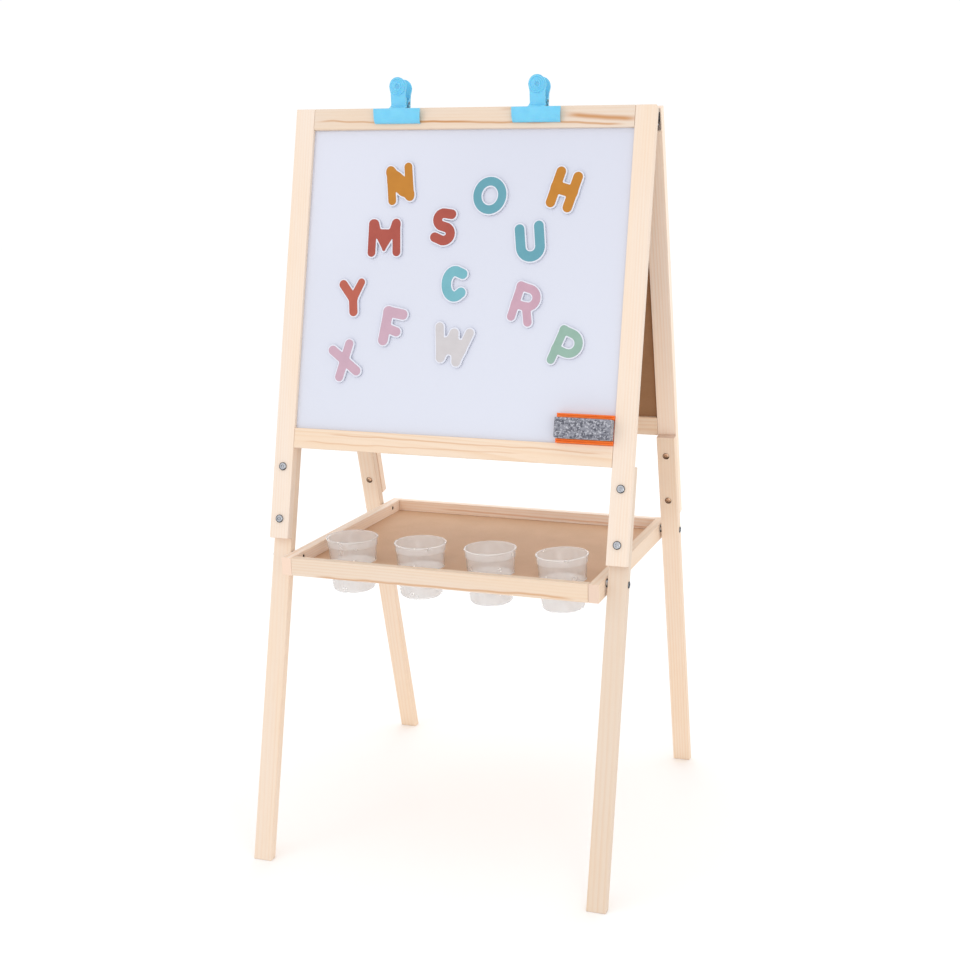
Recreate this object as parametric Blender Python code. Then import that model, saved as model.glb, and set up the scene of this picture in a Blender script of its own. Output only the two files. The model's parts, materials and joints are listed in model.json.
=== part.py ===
"""A child's double-sided easel: two leaning frames hinged at the top, with a tray between the legs.

Units are metres and +Z is up. X runs across the easel and -Y is the whiteboard side. The origin lies
on the floor under the middle of the easel. Each frame is drawn in its own upright frame, whose origin is
the fold pin: local -Y points out of the frame's show face and local +Z runs up the posts.
"""
from math import cos, hypot, pi, radians, sin

import bmesh
import bpy
from mathutils import Matrix, Vector

# Clearance between pieces that touch on the real object
GAP = 0.0003

# Stance
SPLAY = radians(13.5)
PIN_HEIGHT = 1.097
PIN_TO_BACK = 0.0068
TOP_ABOVE_PIN = 0.0015

# Frames, the same front and rear
FRAME_WIDTH = 0.556
POST_WIDTH = 0.030
POST_THICK = 0.014
POST_LENGTH = 0.643
TOP_RAIL_HEIGHT = 0.031
BOTTOM_RAIL_HEIGHT = 0.030
BOTTOM_RAIL_END = 0.506
DOWEL_RADIUS = 0.0025
DOWEL_LENGTH = 0.012
EDGE_ROUND = 0.0009

# Panels held in grooves
PANEL_THICK = 0.003
PANEL_RECESS = 0.006
GROOVE_DEPTH = 0.005

# Legs lapped on the posts' back faces
LEG_WIDTH = 0.029
LEG_THICK = 0.0135
LEG_START = 0.503
BOLT_STEPS = (0.5350, 0.6135)
BOLT_RADIUS = 0.0030
BOLT_HOLE_RADIUS = 0.0033
HEAD_RADIUS = 0.0060
HEAD_HEIGHT = 0.0030
SOCKET_RADIUS = 0.0019
SOCKET_DEPTH = 0.0018
NUT_RADIUS = 0.0052
NUT_HEIGHT = 0.0014
NUT_BORE_RADIUS = 0.0022
NUT_BORE_DEPTH = 0.0034

# Fold hinges
HINGE_WIDTH = 0.026
HINGE_PLATE_THICK = 0.0012
HINGE_PLATE_TOP = -0.0045
HINGE_PLATE_BOTTOM = -0.030
KNUCKLE_RADIUS = 0.0030
HINGE_PIN_RADIUS = 0.0013
HINGE_BORE_RADIUS = 0.0016
MIDDLE_KNUCKLE = 0.0044

# Tray
TRAY_HALF_WIDTH = 0.2457
TRAY_HALF_DEPTH = 0.1945
TRAY_TOP = 0.4565
TRAY_RAIL_HEIGHT = 0.027
SIDE_RAIL_THICK = 0.0155
END_RAIL_THICK = 0.012
TRAY_BOLT_DROP = 0.667
TRAY_HEAD_RADIUS = 0.0050
TRAY_HEAD_HEIGHT = 0.0012
TRAY_SOCKET_DEPTH = 0.0008
TRAY_BOLT_STOP = 0.003
SPACER_RADIUS = 0.0065
SPACER_THICK = 0.0025
BOARD_HOLD = 0.004
BOARD_TOP = 0.438
BOARD_THICK = 0.003
CUP_STEP = 0.112
CUP_ROW_Y = -0.117
CUP_HOLE_RADIUS = 0.0356

# Paint cups
CUP_RIM_TOP = 0.4745
CUP_HEIGHT = 0.082
CUP_RIM_RADIUS = 0.0390
CUP_NECK_RADIUS = 0.0372
CUP_FOOT_RADIUS = 0.0318
CUP_WALL = 0.0014

# Clips
CLIP_PLACES = (-0.111, 0.104)
CLIP_JAW_WIDTH = 0.074
CLIP_JAW_HEIGHT = 0.0205
CLIP_JAW_DROP = 0.0235
CLIP_JAW_STAND = 0.0090
CLIP_PIVOT_HEIGHT = 0.0105
CLIP_PIN_RADIUS = 0.0013
CLIP_BORE_RADIUS = 0.0016
CLIP_PIN_REACH = 0.0128
CLIP_COIL_TURNS = 6
CLIP_COIL_PITCH = 0.0018
LEVER_HALF_WIDTH = 0.0120
LEVER_THICK = 0.0020
LUG_THICK = 0.0015
LUG_RADIUS = 0.0030
GRIP_RADIUS = 0.0140
GRIP_EYE_RADIUS = 0.0036
# Root of the lever beyond the rail's face, stand of its grip from the rail's middle, height of its grip
# and place of its lugs
FRONT_LEVER = (0.0020, 0.0167, 0.0300, 0.0086)
REAR_LEVER = (0.0010, 0.0053, 0.0328, 0.0104)

# Eraser
ERASER_LENGTH = 0.084
ERASER_HEIGHT = 0.042
ERASER_BODY_DEPTH = 0.010
FELT_DEPTH = 0.0185
LIP_HEIGHT = 0.0062

# Letters
LETTER_THICK = 0.004
LETTER_BORDER = 0.0018

# Derived places in a frame's own axes
OUTER_X = FRAME_WIDTH / 2
POST_X = OUTER_X - POST_WIDTH / 2
INNER_X = OUTER_X - POST_WIDTH
LEG_X = OUTER_X - LEG_WIDTH / 2
BACK_Y = -PIN_TO_BACK
FACE_Y = BACK_Y - POST_THICK
PANEL_FACE_Y = FACE_Y + PANEL_RECESS
TRAY_PIVOT = Vector((0, -TRAY_BOLT_DROP * sin(SPLAY), PIN_HEIGHT - TRAY_BOLT_DROP * cos(SPLAY)))

COLOURS = {
    "pine": ((0.90, 0.74, 0.56), 0.55, 0.0),
    "whiteboard": ((0.86, 0.87, 0.92), 0.18, 0.0),
    "chalkboard": ((0.03, 0.035, 0.035), 0.80, 0.0),
    "hardboard": ((0.55, 0.36, 0.22), 0.75, 0.0),
    "zinc": ((0.72, 0.72, 0.72), 0.25, 1.0),
    "frosted": ((0.88, 0.88, 0.90), 0.35, 0.0),
    "blue_plastic": ((0.16, 0.62, 0.86), 0.40, 0.0),
    "orange_plastic": ((0.95, 0.20, 0.03), 0.40, 0.0),
    "felt": ((0.28, 0.29, 0.33), 0.95, 0.0),
    "mustard": ((0.58, 0.24, 0.04), 0.60, 0.0),
    "brick": ((0.48, 0.13, 0.08), 0.60, 0.0),
    "teal": ((0.17, 0.42, 0.49), 0.60, 0.0),
    "mauve": ((0.55, 0.33, 0.43), 0.60, 0.0),
    "sage": ((0.27, 0.46, 0.35), 0.60, 0.0),
    "oat": ((0.63, 0.60, 0.56), 0.60, 0.0),
}


# ---- Meshes -----------------------------------------------------------------------------------------

def mesh_of(bm, name="piece"):
    """Turns a bmesh into a mesh whose faces point out."""
    bmesh.ops.recalc_face_normals(bm, faces=bm.faces[:])
    mesh = bpy.data.meshes.new(name)
    bm.to_mesh(mesh)
    bm.free()
    return mesh


def box(low, high, edge=0.0):
    """A block between two corners, its edges rounded where edge is given."""
    low = Vector(low)
    high = Vector(high)
    bm = bmesh.new()
    bmesh.ops.create_cube(bm, size=1.0)
    bmesh.ops.scale(bm, vec=high - low, verts=bm.verts)
    bmesh.ops.translate(bm, vec=(low + high) / 2, verts=bm.verts)
    if edge:
        bmesh.ops.bevel(bm, geom=bm.edges[:], offset=edge, segments=2, profile=0.5, affect="EDGES")
    return mesh_of(bm)


def lathe(profile, start, axis, sides):
    """A round piece turned from (radius, distance) points along an axis; a radius of 0 is a pole."""
    turn = Vector((0, 0, 1)).rotation_difference(Vector(axis)).to_matrix().to_4x4()
    place = Matrix.Translation(Vector(start)) @ turn
    bm = bmesh.new()
    rings = []
    for radius, along in profile:
        if radius == 0:
            rings.append([bm.verts.new(place @ Vector((0, 0, along)))])
            continue
        ring = []
        for step in range(sides):
            angle = 2 * pi * (step + 0.5) / sides
            ring.append(bm.verts.new(place @ Vector((radius * cos(angle), radius * sin(angle), along))))
        rings.append(ring)
    for lower, upper in zip(rings, rings[1:]):
        for step in range(sides):
            after = (step + 1) % sides
            corners = [lower[step % len(lower)], lower[after % len(lower)]]
            corners += [upper[after % len(upper)], upper[step % len(upper)]]
            unique = list(dict.fromkeys(corners))
            bm.faces.new(unique)
    return mesh_of(bm)


def rod(start, end, radius, sides=12):
    """A plain round bar between two points."""
    span = Vector(end) - Vector(start)
    return lathe([(0, 0), (radius, 0), (radius, span.length), (0, span.length)], start, span, sides)


def prism(outline, low, high, axis="x"):
    """An outline swept from low to high along one axis; its points are in the other two, in order."""
    def corner(point, along):
        if axis == "x":
            return (along, point[0], point[1])
        if axis == "y":
            return (point[0], along, point[1])
        return (point[0], point[1], along)

    bm = bmesh.new()
    near = [bm.verts.new(corner(point, low)) for point in outline]
    far = [bm.verts.new(corner(point, high)) for point in outline]
    bm.faces.new(near)
    bm.faces.new(far[::-1])
    for index in range(len(outline)):
        after = (index + 1) % len(outline)
        bm.faces.new((near[index], near[after], far[after], far[index]))
    return mesh_of(bm)


def combine(base, tools, operation):
    """Applies one Boolean for each tool mesh, in order, and returns the new mesh."""
    for tool in tools:
        body = bpy.data.objects.new("body", base)
        cutter = bpy.data.objects.new("cutter", tool)
        for item in (body, cutter):
            bpy.context.collection.objects.link(item)
        boolean = body.modifiers.new("boolean", "BOOLEAN")
        boolean.operation = operation
        boolean.object = cutter
        depsgraph = bpy.context.evaluated_depsgraph_get()
        result = bpy.data.meshes.new_from_object(body.evaluated_get(depsgraph))
        bpy.data.objects.remove(body)
        bpy.data.objects.remove(cutter)
        bpy.data.meshes.remove(base)
        bpy.data.meshes.remove(tool)
        base = result
    return base


def bundle(meshes):
    """Puts several separate meshes into one, to serve as a single cutter."""
    bm = bmesh.new()
    for mesh in meshes:
        bm.from_mesh(mesh)
        bpy.data.meshes.remove(mesh)
    return mesh_of(bm)


# ---- Objects ----------------------------------------------------------------------------------------

def clear_scene():
    for item in list(bpy.data.objects):
        bpy.data.objects.remove(item)


def make_materials():
    made = {}
    for name, (colour, roughness, metallic) in COLOURS.items():
        material = bpy.data.materials.new(name)
        material.use_nodes = True
        shader = material.node_tree.nodes["Principled BSDF"]
        shader.inputs["Base Color"].default_value = (*colour, 1.0)
        shader.inputs["Roughness"].default_value = roughness
        shader.inputs["Metallic"].default_value = metallic
        made[name] = material
    return made


def empty(name, location, rotation=(0, 0, 0)):
    item = bpy.data.objects.new(name, None)
    item.location = location
    item.rotation_euler = rotation
    bpy.context.collection.objects.link(item)
    return item


def place(name, mesh, material, parent, cuts=(), joined=()):
    """Names a piece, adds and cuts what it needs, and puts its origin in its own middle."""
    mesh = combine(mesh, joined, "UNION")
    if cuts:
        mesh = combine(mesh, [bundle(list(cuts))], "DIFFERENCE")
    bm = bmesh.new()
    bm.from_mesh(mesh)
    bmesh.ops.remove_doubles(bm, verts=bm.verts[:], dist=1e-6)
    bmesh.ops.dissolve_degenerate(bm, dist=1e-6, edges=bm.edges[:])
    bm.to_mesh(mesh)
    bm.free()
    xs, ys, zs = zip(*(vertex.co for vertex in mesh.vertices))
    middle = Vector(((min(xs) + max(xs)) / 2, (min(ys) + max(ys)) / 2, (min(zs) + max(zs)) / 2))
    mesh.transform(Matrix.Translation(-middle))
    mesh.name = name
    mesh.shade_smooth()
    mesh.set_sharp_from_angle(angle=radians(35))
    mesh.materials.clear()
    mesh.materials.append(MATERIALS[material])
    item = bpy.data.objects.new(name, mesh)
    item.location = middle
    item.parent = parent
    bpy.context.collection.objects.link(item)
    return item


# ---- The two frames ---------------------------------------------------------------------------------

def below_top(distance):
    """Local height of a point that many metres down a post from its top edge."""
    return TOP_ABOVE_PIN - distance


def dowel_heights(top, height):
    return (top - height * 0.27, top - height * 0.75)


def build_frame(prefix, pivot, panel_name, panel_material):
    """Posts, rails, panel and legs of one frame, with the bolts that join them."""
    dowel_y = FACE_Y + POST_THICK / 2
    top_rail_top = below_top(0)
    bottom_rail_bottom = below_top(BOTTOM_RAIL_END)
    bottom_rail_top = bottom_rail_bottom + BOTTOM_RAIL_HEIGHT
    panel_top = top_rail_top - TOP_RAIL_HEIGHT
    groove_low = bottom_rail_top - GROOVE_DEPTH
    groove_high = panel_top + GROOVE_DEPTH
    groove_y = (PANEL_FACE_Y - GAP, PANEL_FACE_Y + PANEL_THICK + GAP)
    dowels = dowel_heights(top_rail_top, TOP_RAIL_HEIGHT) + dowel_heights(bottom_rail_top, BOTTOM_RAIL_HEIGHT)

    for side, sign in (("left", -1), ("right", 1)):
        if prefix == "rear":
            sign = -sign
        inner = sign * INNER_X
        spans = sorted((inner, sign * OUTER_X))
        cuts = []
        for step in BOLT_STEPS:
            height = below_top(step)
            cuts.append(rod((sign * POST_X, FACE_Y - 0.01, height), (sign * POST_X, BACK_Y + 0.01, height),
                            BOLT_HOLE_RADIUS))
        cuts.append(box(
            (min(inner - sign * 0.01, inner + sign * GROOVE_DEPTH), groove_y[0], groove_low),
            (max(inner - sign * 0.01, inner + sign * GROOVE_DEPTH), groove_y[1], groove_high),
        ))
        for height in dowels:
            cuts.append(rod((inner - sign * 0.01, dowel_y, height),
                            (inner + sign * (DOWEL_LENGTH + 0.001), dowel_y, height), DOWEL_RADIUS + GAP, 8))
        post = box((spans[0], FACE_Y, below_top(POST_LENGTH)), (spans[1], BACK_Y, below_top(0)), EDGE_ROUND)
        place(f"{prefix}_post_{side}", post, "pine", pivot, cuts)
        build_leg(prefix, side, sign, pivot)
        for label, step in zip(("upper", "lower"), BOLT_STEPS):
            build_leg_bolt(f"{prefix}_bolt_{side}_{label}", sign, step, pivot)

    rails = (
        ("top", top_rail_top - TOP_RAIL_HEIGHT, top_rail_top, dowels[:2], -1),
        ("bottom", bottom_rail_bottom, bottom_rail_top, dowels[2:], 1),
    )
    reach = INNER_X - GAP
    for label, low, high, heights, grooved in rails:
        rail = box((-reach, FACE_Y, low), (reach, BACK_Y, high), EDGE_ROUND)
        ends = [
            rod((sign * (reach - 0.004), dowel_y, height), (sign * (INNER_X + DOWEL_LENGTH), dowel_y, height),
                DOWEL_RADIUS, 8)
            for height in heights
            for sign in (-1, 1)
        ]
        edge = low if grooved < 0 else high
        groove_z = sorted((edge - grooved * GROOVE_DEPTH, edge + grooved * 0.01))
        groove = box((-INNER_X - 0.01, groove_y[0], groove_z[0]), (INNER_X + 0.01, groove_y[1], groove_z[1]))
        place(f"{prefix}_{label}_rail", rail, "pine", pivot, [groove], ends)

    hold = GROOVE_DEPTH - 0.001
    panel = box((-INNER_X - hold, PANEL_FACE_Y, bottom_rail_top - hold),
                (INNER_X + hold, PANEL_FACE_Y + PANEL_THICK, panel_top + hold))
    place(panel_name, panel, panel_material, pivot)


def build_leg(prefix, side, sign, pivot):
    """A leg behind its post, cut level where it meets the floor."""
    near = BACK_Y + GAP
    far = BACK_Y + LEG_THICK
    spans = sorted((sign * (OUTER_X - LEG_WIDTH), sign * OUTER_X))
    length_low = -(PIN_HEIGHT / cos(SPLAY)) - 0.02
    leg = box((spans[0], near, length_low), (spans[1], far, below_top(LEG_START)), EDGE_ROUND)
    floor = [
        (y, (y * sin(SPLAY) - PIN_HEIGHT) / cos(SPLAY))
        for y in (near - 0.02, far + 0.02)
    ]
    waste = floor + [(far + 0.02, length_low - 0.03), (near - 0.02, length_low - 0.03)]
    cuts = [prism(waste, spans[0] - 0.01, spans[1] + 0.01)]
    for step in BOLT_STEPS:
        height = below_top(step)
        cuts.append(rod((sign * POST_X, near - 0.01, height), (sign * POST_X, far + 0.01, height),
                        BOLT_HOLE_RADIUS))
    cuts.append(rod((spans[0] - 0.01, 0, -TRAY_BOLT_DROP), (spans[1] + 0.01, 0, -TRAY_BOLT_DROP),
                    BOLT_HOLE_RADIUS))
    place(f"{prefix}_leg_{side}", leg, "pine", pivot, cuts)


def dome(radius, height, socket, depth):
    """Profile of a domed head, from the floor of its socket out to its seat."""
    return [
        (0, height - depth),
        (socket, height - depth),
        (socket, height),
        (radius * 0.72, height * 0.86),
        (radius * 0.95, height * 0.45),
        (radius, 0),
    ]


def build_bolt(name, start, axis, length, head, end, pivot):
    """A bolt: its head's profile stands at start, the shank runs length along axis into the end's profile."""
    profile = [(radius, -along) for radius, along in head]
    profile += [(BOLT_RADIUS, 0)] + [(radius, length + along) for radius, along in end]
    place(name, lathe(profile, start, axis, 12), "zinc", pivot)


def build_leg_bolt(name, sign, step, pivot):
    head = dome(HEAD_RADIUS, HEAD_HEIGHT, SOCKET_RADIUS, SOCKET_DEPTH)
    bore_floor = NUT_HEIGHT - NUT_BORE_DEPTH
    nut = [
        (BOLT_RADIUS, 0),
        (NUT_RADIUS, 0),
        (NUT_RADIUS, NUT_HEIGHT * 0.57),
        (NUT_RADIUS * 0.8, NUT_HEIGHT),
        (NUT_BORE_RADIUS, NUT_HEIGHT),
        (NUT_BORE_RADIUS, bore_floor),
        (0, bore_floor),
    ]
    start = (sign * POST_X, FACE_Y - GAP, below_top(step))
    build_bolt(name, start, (0, 1, 0), POST_THICK + LEG_THICK + 2 * GAP, head, nut, pivot)


def build_tray_bolts(prefix, pivot):
    """The front pair are the tray's pivots; the rear pair stop short of the tray so that it can swing."""
    for side, sign in (("left", -1), ("right", 1)):
        if prefix == "rear":
            sign = -sign
        head = dome(TRAY_HEAD_RADIUS, TRAY_HEAD_HEIGHT, SOCKET_RADIUS, TRAY_SOCKET_DEPTH)
        length = OUTER_X - TRAY_HALF_WIDTH
        if prefix == "front":
            length += SIDE_RAIL_THICK - TRAY_BOLT_STOP
            end = [(BOLT_RADIUS, 0), (0, 0)]
        else:
            length -= GAP
            end = [(BOLT_RADIUS, -SPACER_THICK), (SPACER_RADIUS, -SPACER_THICK), (SPACER_RADIUS, 0), (0, 0)]
        start = (sign * (OUTER_X + GAP), 0, -TRAY_BOLT_DROP)
        build_bolt(f"tray_bolt_{prefix}_{side}", start, (-sign, 0, 0), length, head, end, pivot)


# ---- Fold hinges ------------------------------------------------------------------------------------

def build_hinge_leaf(name, centre_x, knuckles, holds_pin, pivot):
    """A cranked leaf screwed to a post's back face, with its share of the knuckle."""
    left = centre_x - HINGE_WIDTH / 2
    right = centre_x + HINGE_WIDTH / 2
    plate_y = (BACK_Y + GAP, BACK_Y + GAP + HINGE_PLATE_THICK)
    plate = box((left, plate_y[0], HINGE_PLATE_BOTTOM), (right, plate_y[1], HINGE_PLATE_TOP))
    crank = [
        (plate_y[0], HINGE_PLATE_TOP - 0.001),
        (plate_y[1], HINGE_PLATE_TOP - 0.001),
        (-KNUCKLE_RADIUS * 0.40, -KNUCKLE_RADIUS * 0.53),
        (-KNUCKLE_RADIUS * 0.73, -KNUCKLE_RADIUS * 0.07),
        (plate_y[0], HINGE_PLATE_TOP + 0.001),
    ]
    parts = []
    for low, high in knuckles:
        parts.append(prism(crank, centre_x + low, centre_x + high))
        parts.append(rod((centre_x + low, 0, 0), (centre_x + high, 0, 0), KNUCKLE_RADIUS, 12))
    cuts = []
    if holds_pin:
        parts.append(rod((left + 0.001, 0, 0), (right - 0.001, 0, 0), HINGE_PIN_RADIUS, 8))
    else:
        cuts.append(rod((left, 0, 0), (right, 0, 0), HINGE_BORE_RADIUS, 8))
    place(name, plate, "zinc", pivot, cuts, parts)


def build_hinges(front, rear):
    near = MIDDLE_KNUCKLE + GAP
    far = HINGE_WIDTH / 2
    outer = ((-far, -near), (near, far))
    middle = ((-MIDDLE_KNUCKLE, MIDDLE_KNUCKLE),)
    for side, sign in (("left", -1), ("right", 1)):
        build_hinge_leaf(f"hinge_{side}_front_leaf", sign * POST_X, outer, True, front)
        build_hinge_leaf(f"hinge_{side}_rear_leaf", -sign * POST_X, middle, False, rear)


# ---- Tray -------------------------------------------------------------------------------------------

def build_tray(pivot):
    """Four rails round a hardboard base with a row of cup holes, drawn round the tray's own pivot."""
    def at(x, y, z):
        return Vector((x, y, z)) - TRAY_PIVOT

    low_z = TRAY_TOP - TRAY_RAIL_HEIGHT
    inner_x = TRAY_HALF_WIDTH - SIDE_RAIL_THICK
    inner_y = TRAY_HALF_DEPTH - END_RAIL_THICK
    slot = (BOARD_TOP - BOARD_THICK - GAP, BOARD_TOP + GAP)
    hold = BOARD_HOLD
    pin_z = TRAY_TOP - TRAY_RAIL_HEIGHT * 0.28
    for side, sign in (("left", -1), ("right", 1)):
        spans = sorted((sign * inner_x, sign * TRAY_HALF_WIDTH))
        rail = box(at(spans[0], -TRAY_HALF_DEPTH, low_z), at(spans[1], TRAY_HALF_DEPTH, TRAY_TOP), EDGE_ROUND)
        groove_x = sorted((sign * (inner_x - 0.01), sign * (inner_x + hold + GAP)))
        groove_end = inner_y + hold + GAP
        cuts = [box(at(groove_x[0], -groove_end, slot[0]), at(groove_x[1], groove_end, slot[1]))]
        for end in (-1, 1):
            hole_y = end * -TRAY_PIVOT.y
            cuts.append(rod(at(spans[0] - 0.01, hole_y, TRAY_PIVOT.z),
                            at(spans[1] + 0.01, hole_y, TRAY_PIVOT.z), BOLT_HOLE_RADIUS))
            pin_y = end * (TRAY_HALF_DEPTH - END_RAIL_THICK / 2)
            cuts.append(rod(at(sign * (inner_x - 0.01), pin_y, pin_z),
                            at(sign * (inner_x + 0.011), pin_y, pin_z), DOWEL_RADIUS + GAP, 8))
        place(f"tray_side_rail_{side}", rail, "pine", pivot, cuts)

    for label, end in (("front", -1), ("back", 1)):
        spans = sorted((end * inner_y, end * TRAY_HALF_DEPTH))
        reach = inner_x - GAP
        rail = box(at(-reach, spans[0], low_z), at(reach, spans[1], TRAY_TOP), EDGE_ROUND)
        groove_y = sorted((end * (inner_y - 0.01), end * (inner_y + hold + GAP)))
        groove = box(at(-inner_x - 0.01, groove_y[0], slot[0]), at(inner_x + 0.01, groove_y[1], slot[1]))
        pin_y = end * (TRAY_HALF_DEPTH - END_RAIL_THICK / 2)
        pins = [
            rod(at(sign * (reach - 0.004), pin_y, pin_z), at(sign * (inner_x + 0.010), pin_y, pin_z),
                DOWEL_RADIUS, 8)
            for sign in (-1, 1)
        ]
        place(f"tray_{label}_rail", rail, "pine", pivot, [groove], pins)

    board = box(at(-inner_x - hold, -inner_y - hold, BOARD_TOP - BOARD_THICK),
                at(inner_x + hold, inner_y + hold, BOARD_TOP))
    holes = [
        rod(at(x, CUP_ROW_Y, BOARD_TOP - 0.02), at(x, CUP_ROW_Y, BOARD_TOP + 0.02), CUP_HOLE_RADIUS, 24)
        for x in cup_places()
    ]
    place("tray_board", board, "hardboard", pivot, holes)


def cup_places():
    return [CUP_STEP * (index - 1.5) for index in range(4)]


def build_cups(pivot):
    """Tapered cups that hang by their taper in the board's holes."""
    top = CUP_HEIGHT
    outside = [(0, 0), (0.0262, 0), (0.0300, 0.0018), (CUP_FOOT_RADIUS, 0.0060)]
    outside += [(CUP_NECK_RADIUS - 0.0008, top - 0.0130), (CUP_NECK_RADIUS, top - 0.0125)]
    outside += [(0.0378, top - 0.0030), (CUP_RIM_RADIUS, top - 0.0022), (CUP_RIM_RADIUS, top)]
    inside = [(CUP_RIM_RADIUS - CUP_WALL, top), (CUP_NECK_RADIUS - CUP_WALL, top - 0.0120)]
    inside += [(CUP_FOOT_RADIUS - CUP_WALL, 0.0070), (0.0262, CUP_WALL + 0.0006), (0, CUP_WALL)]
    for index, x in enumerate(cup_places(), start=1):
        holder = empty(f"cup_{index}_slide", Vector((x, CUP_ROW_Y, CUP_RIM_TOP - CUP_HEIGHT)) - TRAY_PIVOT)
        holder.parent = pivot
        place(f"paint_cup_{index}", lathe(outside + inside, (0, 0, 0), (0, 0, 1), 24), "frosted", holder)


# ---- Clips ------------------------------------------------------------------------------------------

def clip_shell(face, away):
    """Side outline of a jaw: a thin curved shell from the lip on the rail out to its far edge."""
    lip = below_top(CLIP_JAW_DROP)
    outer = []
    inner = []
    for step in range(6):
        angle = radians(90) * step / 5
        rise = 1 - cos(angle)
        far = 0.0012 + (CLIP_JAW_STAND - 0.0012) * sin(angle)
        near = GAP + (CLIP_JAW_STAND - 0.0024) * sin(angle)
        outer.append((face + away * far, lip + CLIP_JAW_HEIGHT * rise))
        inner.append((face + away * near, lip + (CLIP_JAW_HEIGHT - 0.0019) * rise))
    return outer + inner[::-1]


def build_clip_half(name, centre_x, away, lever, parent):
    """One moulded half: a jaw, a shelf back to the lever with its dished grip, and the lugs on the pin."""
    middle = (FACE_Y + BACK_Y) / 2
    face = FACE_Y if away < 0 else BACK_Y
    root_out, grip_out, grip_height, lug_x = lever
    root = Vector((centre_x, face + away * root_out, below_top(0) + GAP))
    grip = Vector((centre_x, middle + away * grip_out, grip_height))
    slope = (grip - root).normalized()
    inward = Vector((0, slope.z, -slope.y)) * -away
    jaw_y = face + away * CLIP_JAW_STAND
    jaw_z = below_top(CLIP_JAW_DROP) + CLIP_JAW_HEIGHT

    jaw = prism(clip_shell(face, away), centre_x - CLIP_JAW_WIDTH / 2, centre_x + CLIP_JAW_WIDTH / 2)
    blade = [
        (jaw_y, jaw_z - 0.0018),
        (jaw_y, jaw_z),
        (root.y, root.z + 0.0010),
        (grip.y, grip.z),
        (grip.y - away * LEVER_THICK, grip.z),
        (root.y - away * LEVER_THICK, root.z),
        (root.y, root.z - 0.0005),
        (jaw_y - away * 0.0015, jaw_z - 0.0018),
    ]
    parts = [prism(blade, centre_x - LEVER_HALF_WIDTH, centre_x + LEVER_HALF_WIDTH)]
    dish = [
        (0, 0),
        (GRIP_RADIUS, 0),
        (GRIP_RADIUS, LEVER_THICK),
        (GRIP_RADIUS * 0.84, LEVER_THICK + 0.0008),
        (GRIP_RADIUS * 0.68, LEVER_THICK + 0.0008),
        (GRIP_RADIUS * 0.50, LEVER_THICK - 0.0004),
        (0, LEVER_THICK - 0.0004),
    ]
    parts.append(lathe(dish, grip + inward * LEVER_THICK, -inward, 20))
    lug = []
    for share in (0.10, 0.35, 0.60):
        spot = root.lerp(grip, share)
        lug.append((spot.y - away * 0.0006, spot.z))
    for turn in (80, 30, -30, -80):
        lug.append((middle - away * LUG_RADIUS * cos(radians(turn)),
                    CLIP_PIVOT_HEIGHT + LUG_RADIUS * sin(radians(turn))))
    for sign in (-1, 1):
        spans = sorted((centre_x + sign * lug_x, centre_x + sign * (lug_x + LUG_THICK)))
        parts.append(prism(lug, spans[0], spans[1]))
    bore_reach = Vector((CLIP_JAW_WIDTH / 2, 0, 0))
    pin = Vector((centre_x, middle, CLIP_PIVOT_HEIGHT))
    cuts = [
        rod(pin - bore_reach, pin + bore_reach, CLIP_BORE_RADIUS, 10),
        rod(grip + inward * 0.01, grip - inward * 0.01, GRIP_EYE_RADIUS, 12),
    ]
    place(name, jaw, "blue_plastic", parent, cuts, parts)


def build_clip_spring(name, centre_x, parent):
    """The coil between the levers, with the pin that it sits on."""
    middle = (FACE_Y + BACK_Y) / 2
    start = -CLIP_COIL_TURNS * CLIP_COIL_PITCH / 2
    shoulder = CLIP_PIN_REACH - 0.0004
    pin = [(0, CLIP_PIN_REACH), (0.0022, CLIP_PIN_REACH), (0.0022, shoulder), (CLIP_PIN_RADIUS, shoulder)]
    profile = [(radius, -along) for radius, along in pin] + [(CLIP_PIN_RADIUS, start)]
    for turn in range(CLIP_COIL_TURNS):
        profile += [(0.0024, start + turn * CLIP_COIL_PITCH + 0.0002)]
        profile += [(0.0036, start + (turn + 0.5) * CLIP_COIL_PITCH)]
        profile += [(0.0024, start + (turn + 1) * CLIP_COIL_PITCH - 0.0002)]
    profile += [(CLIP_PIN_RADIUS, -start)] + pin[::-1]
    place(name, lathe(profile, (centre_x, middle, CLIP_PIVOT_HEIGHT), (1, 0, 0), 10), "zinc", parent)


def build_clips(front):
    for index, centre_x in enumerate(CLIP_PLACES, start=1):
        build_clip_half(f"clip_{index}_rear_half", centre_x, 1, REAR_LEVER, front)
        build_clip_spring(f"clip_{index}_spring", centre_x, front)
        pin = Vector((centre_x, (FACE_Y + BACK_Y) / 2, CLIP_PIVOT_HEIGHT))
        pivot = empty(f"clip_{index}_jaw_pivot", pin)
        pivot.parent = front
        build_clip_half(f"clip_{index}_front_half", centre_x, -1, FRONT_LEVER, pivot)
        bpy.data.objects[f"clip_{index}_front_half"].location -= pin



# ---- Eraser and letters -----------------------------------------------------------------------------

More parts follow.
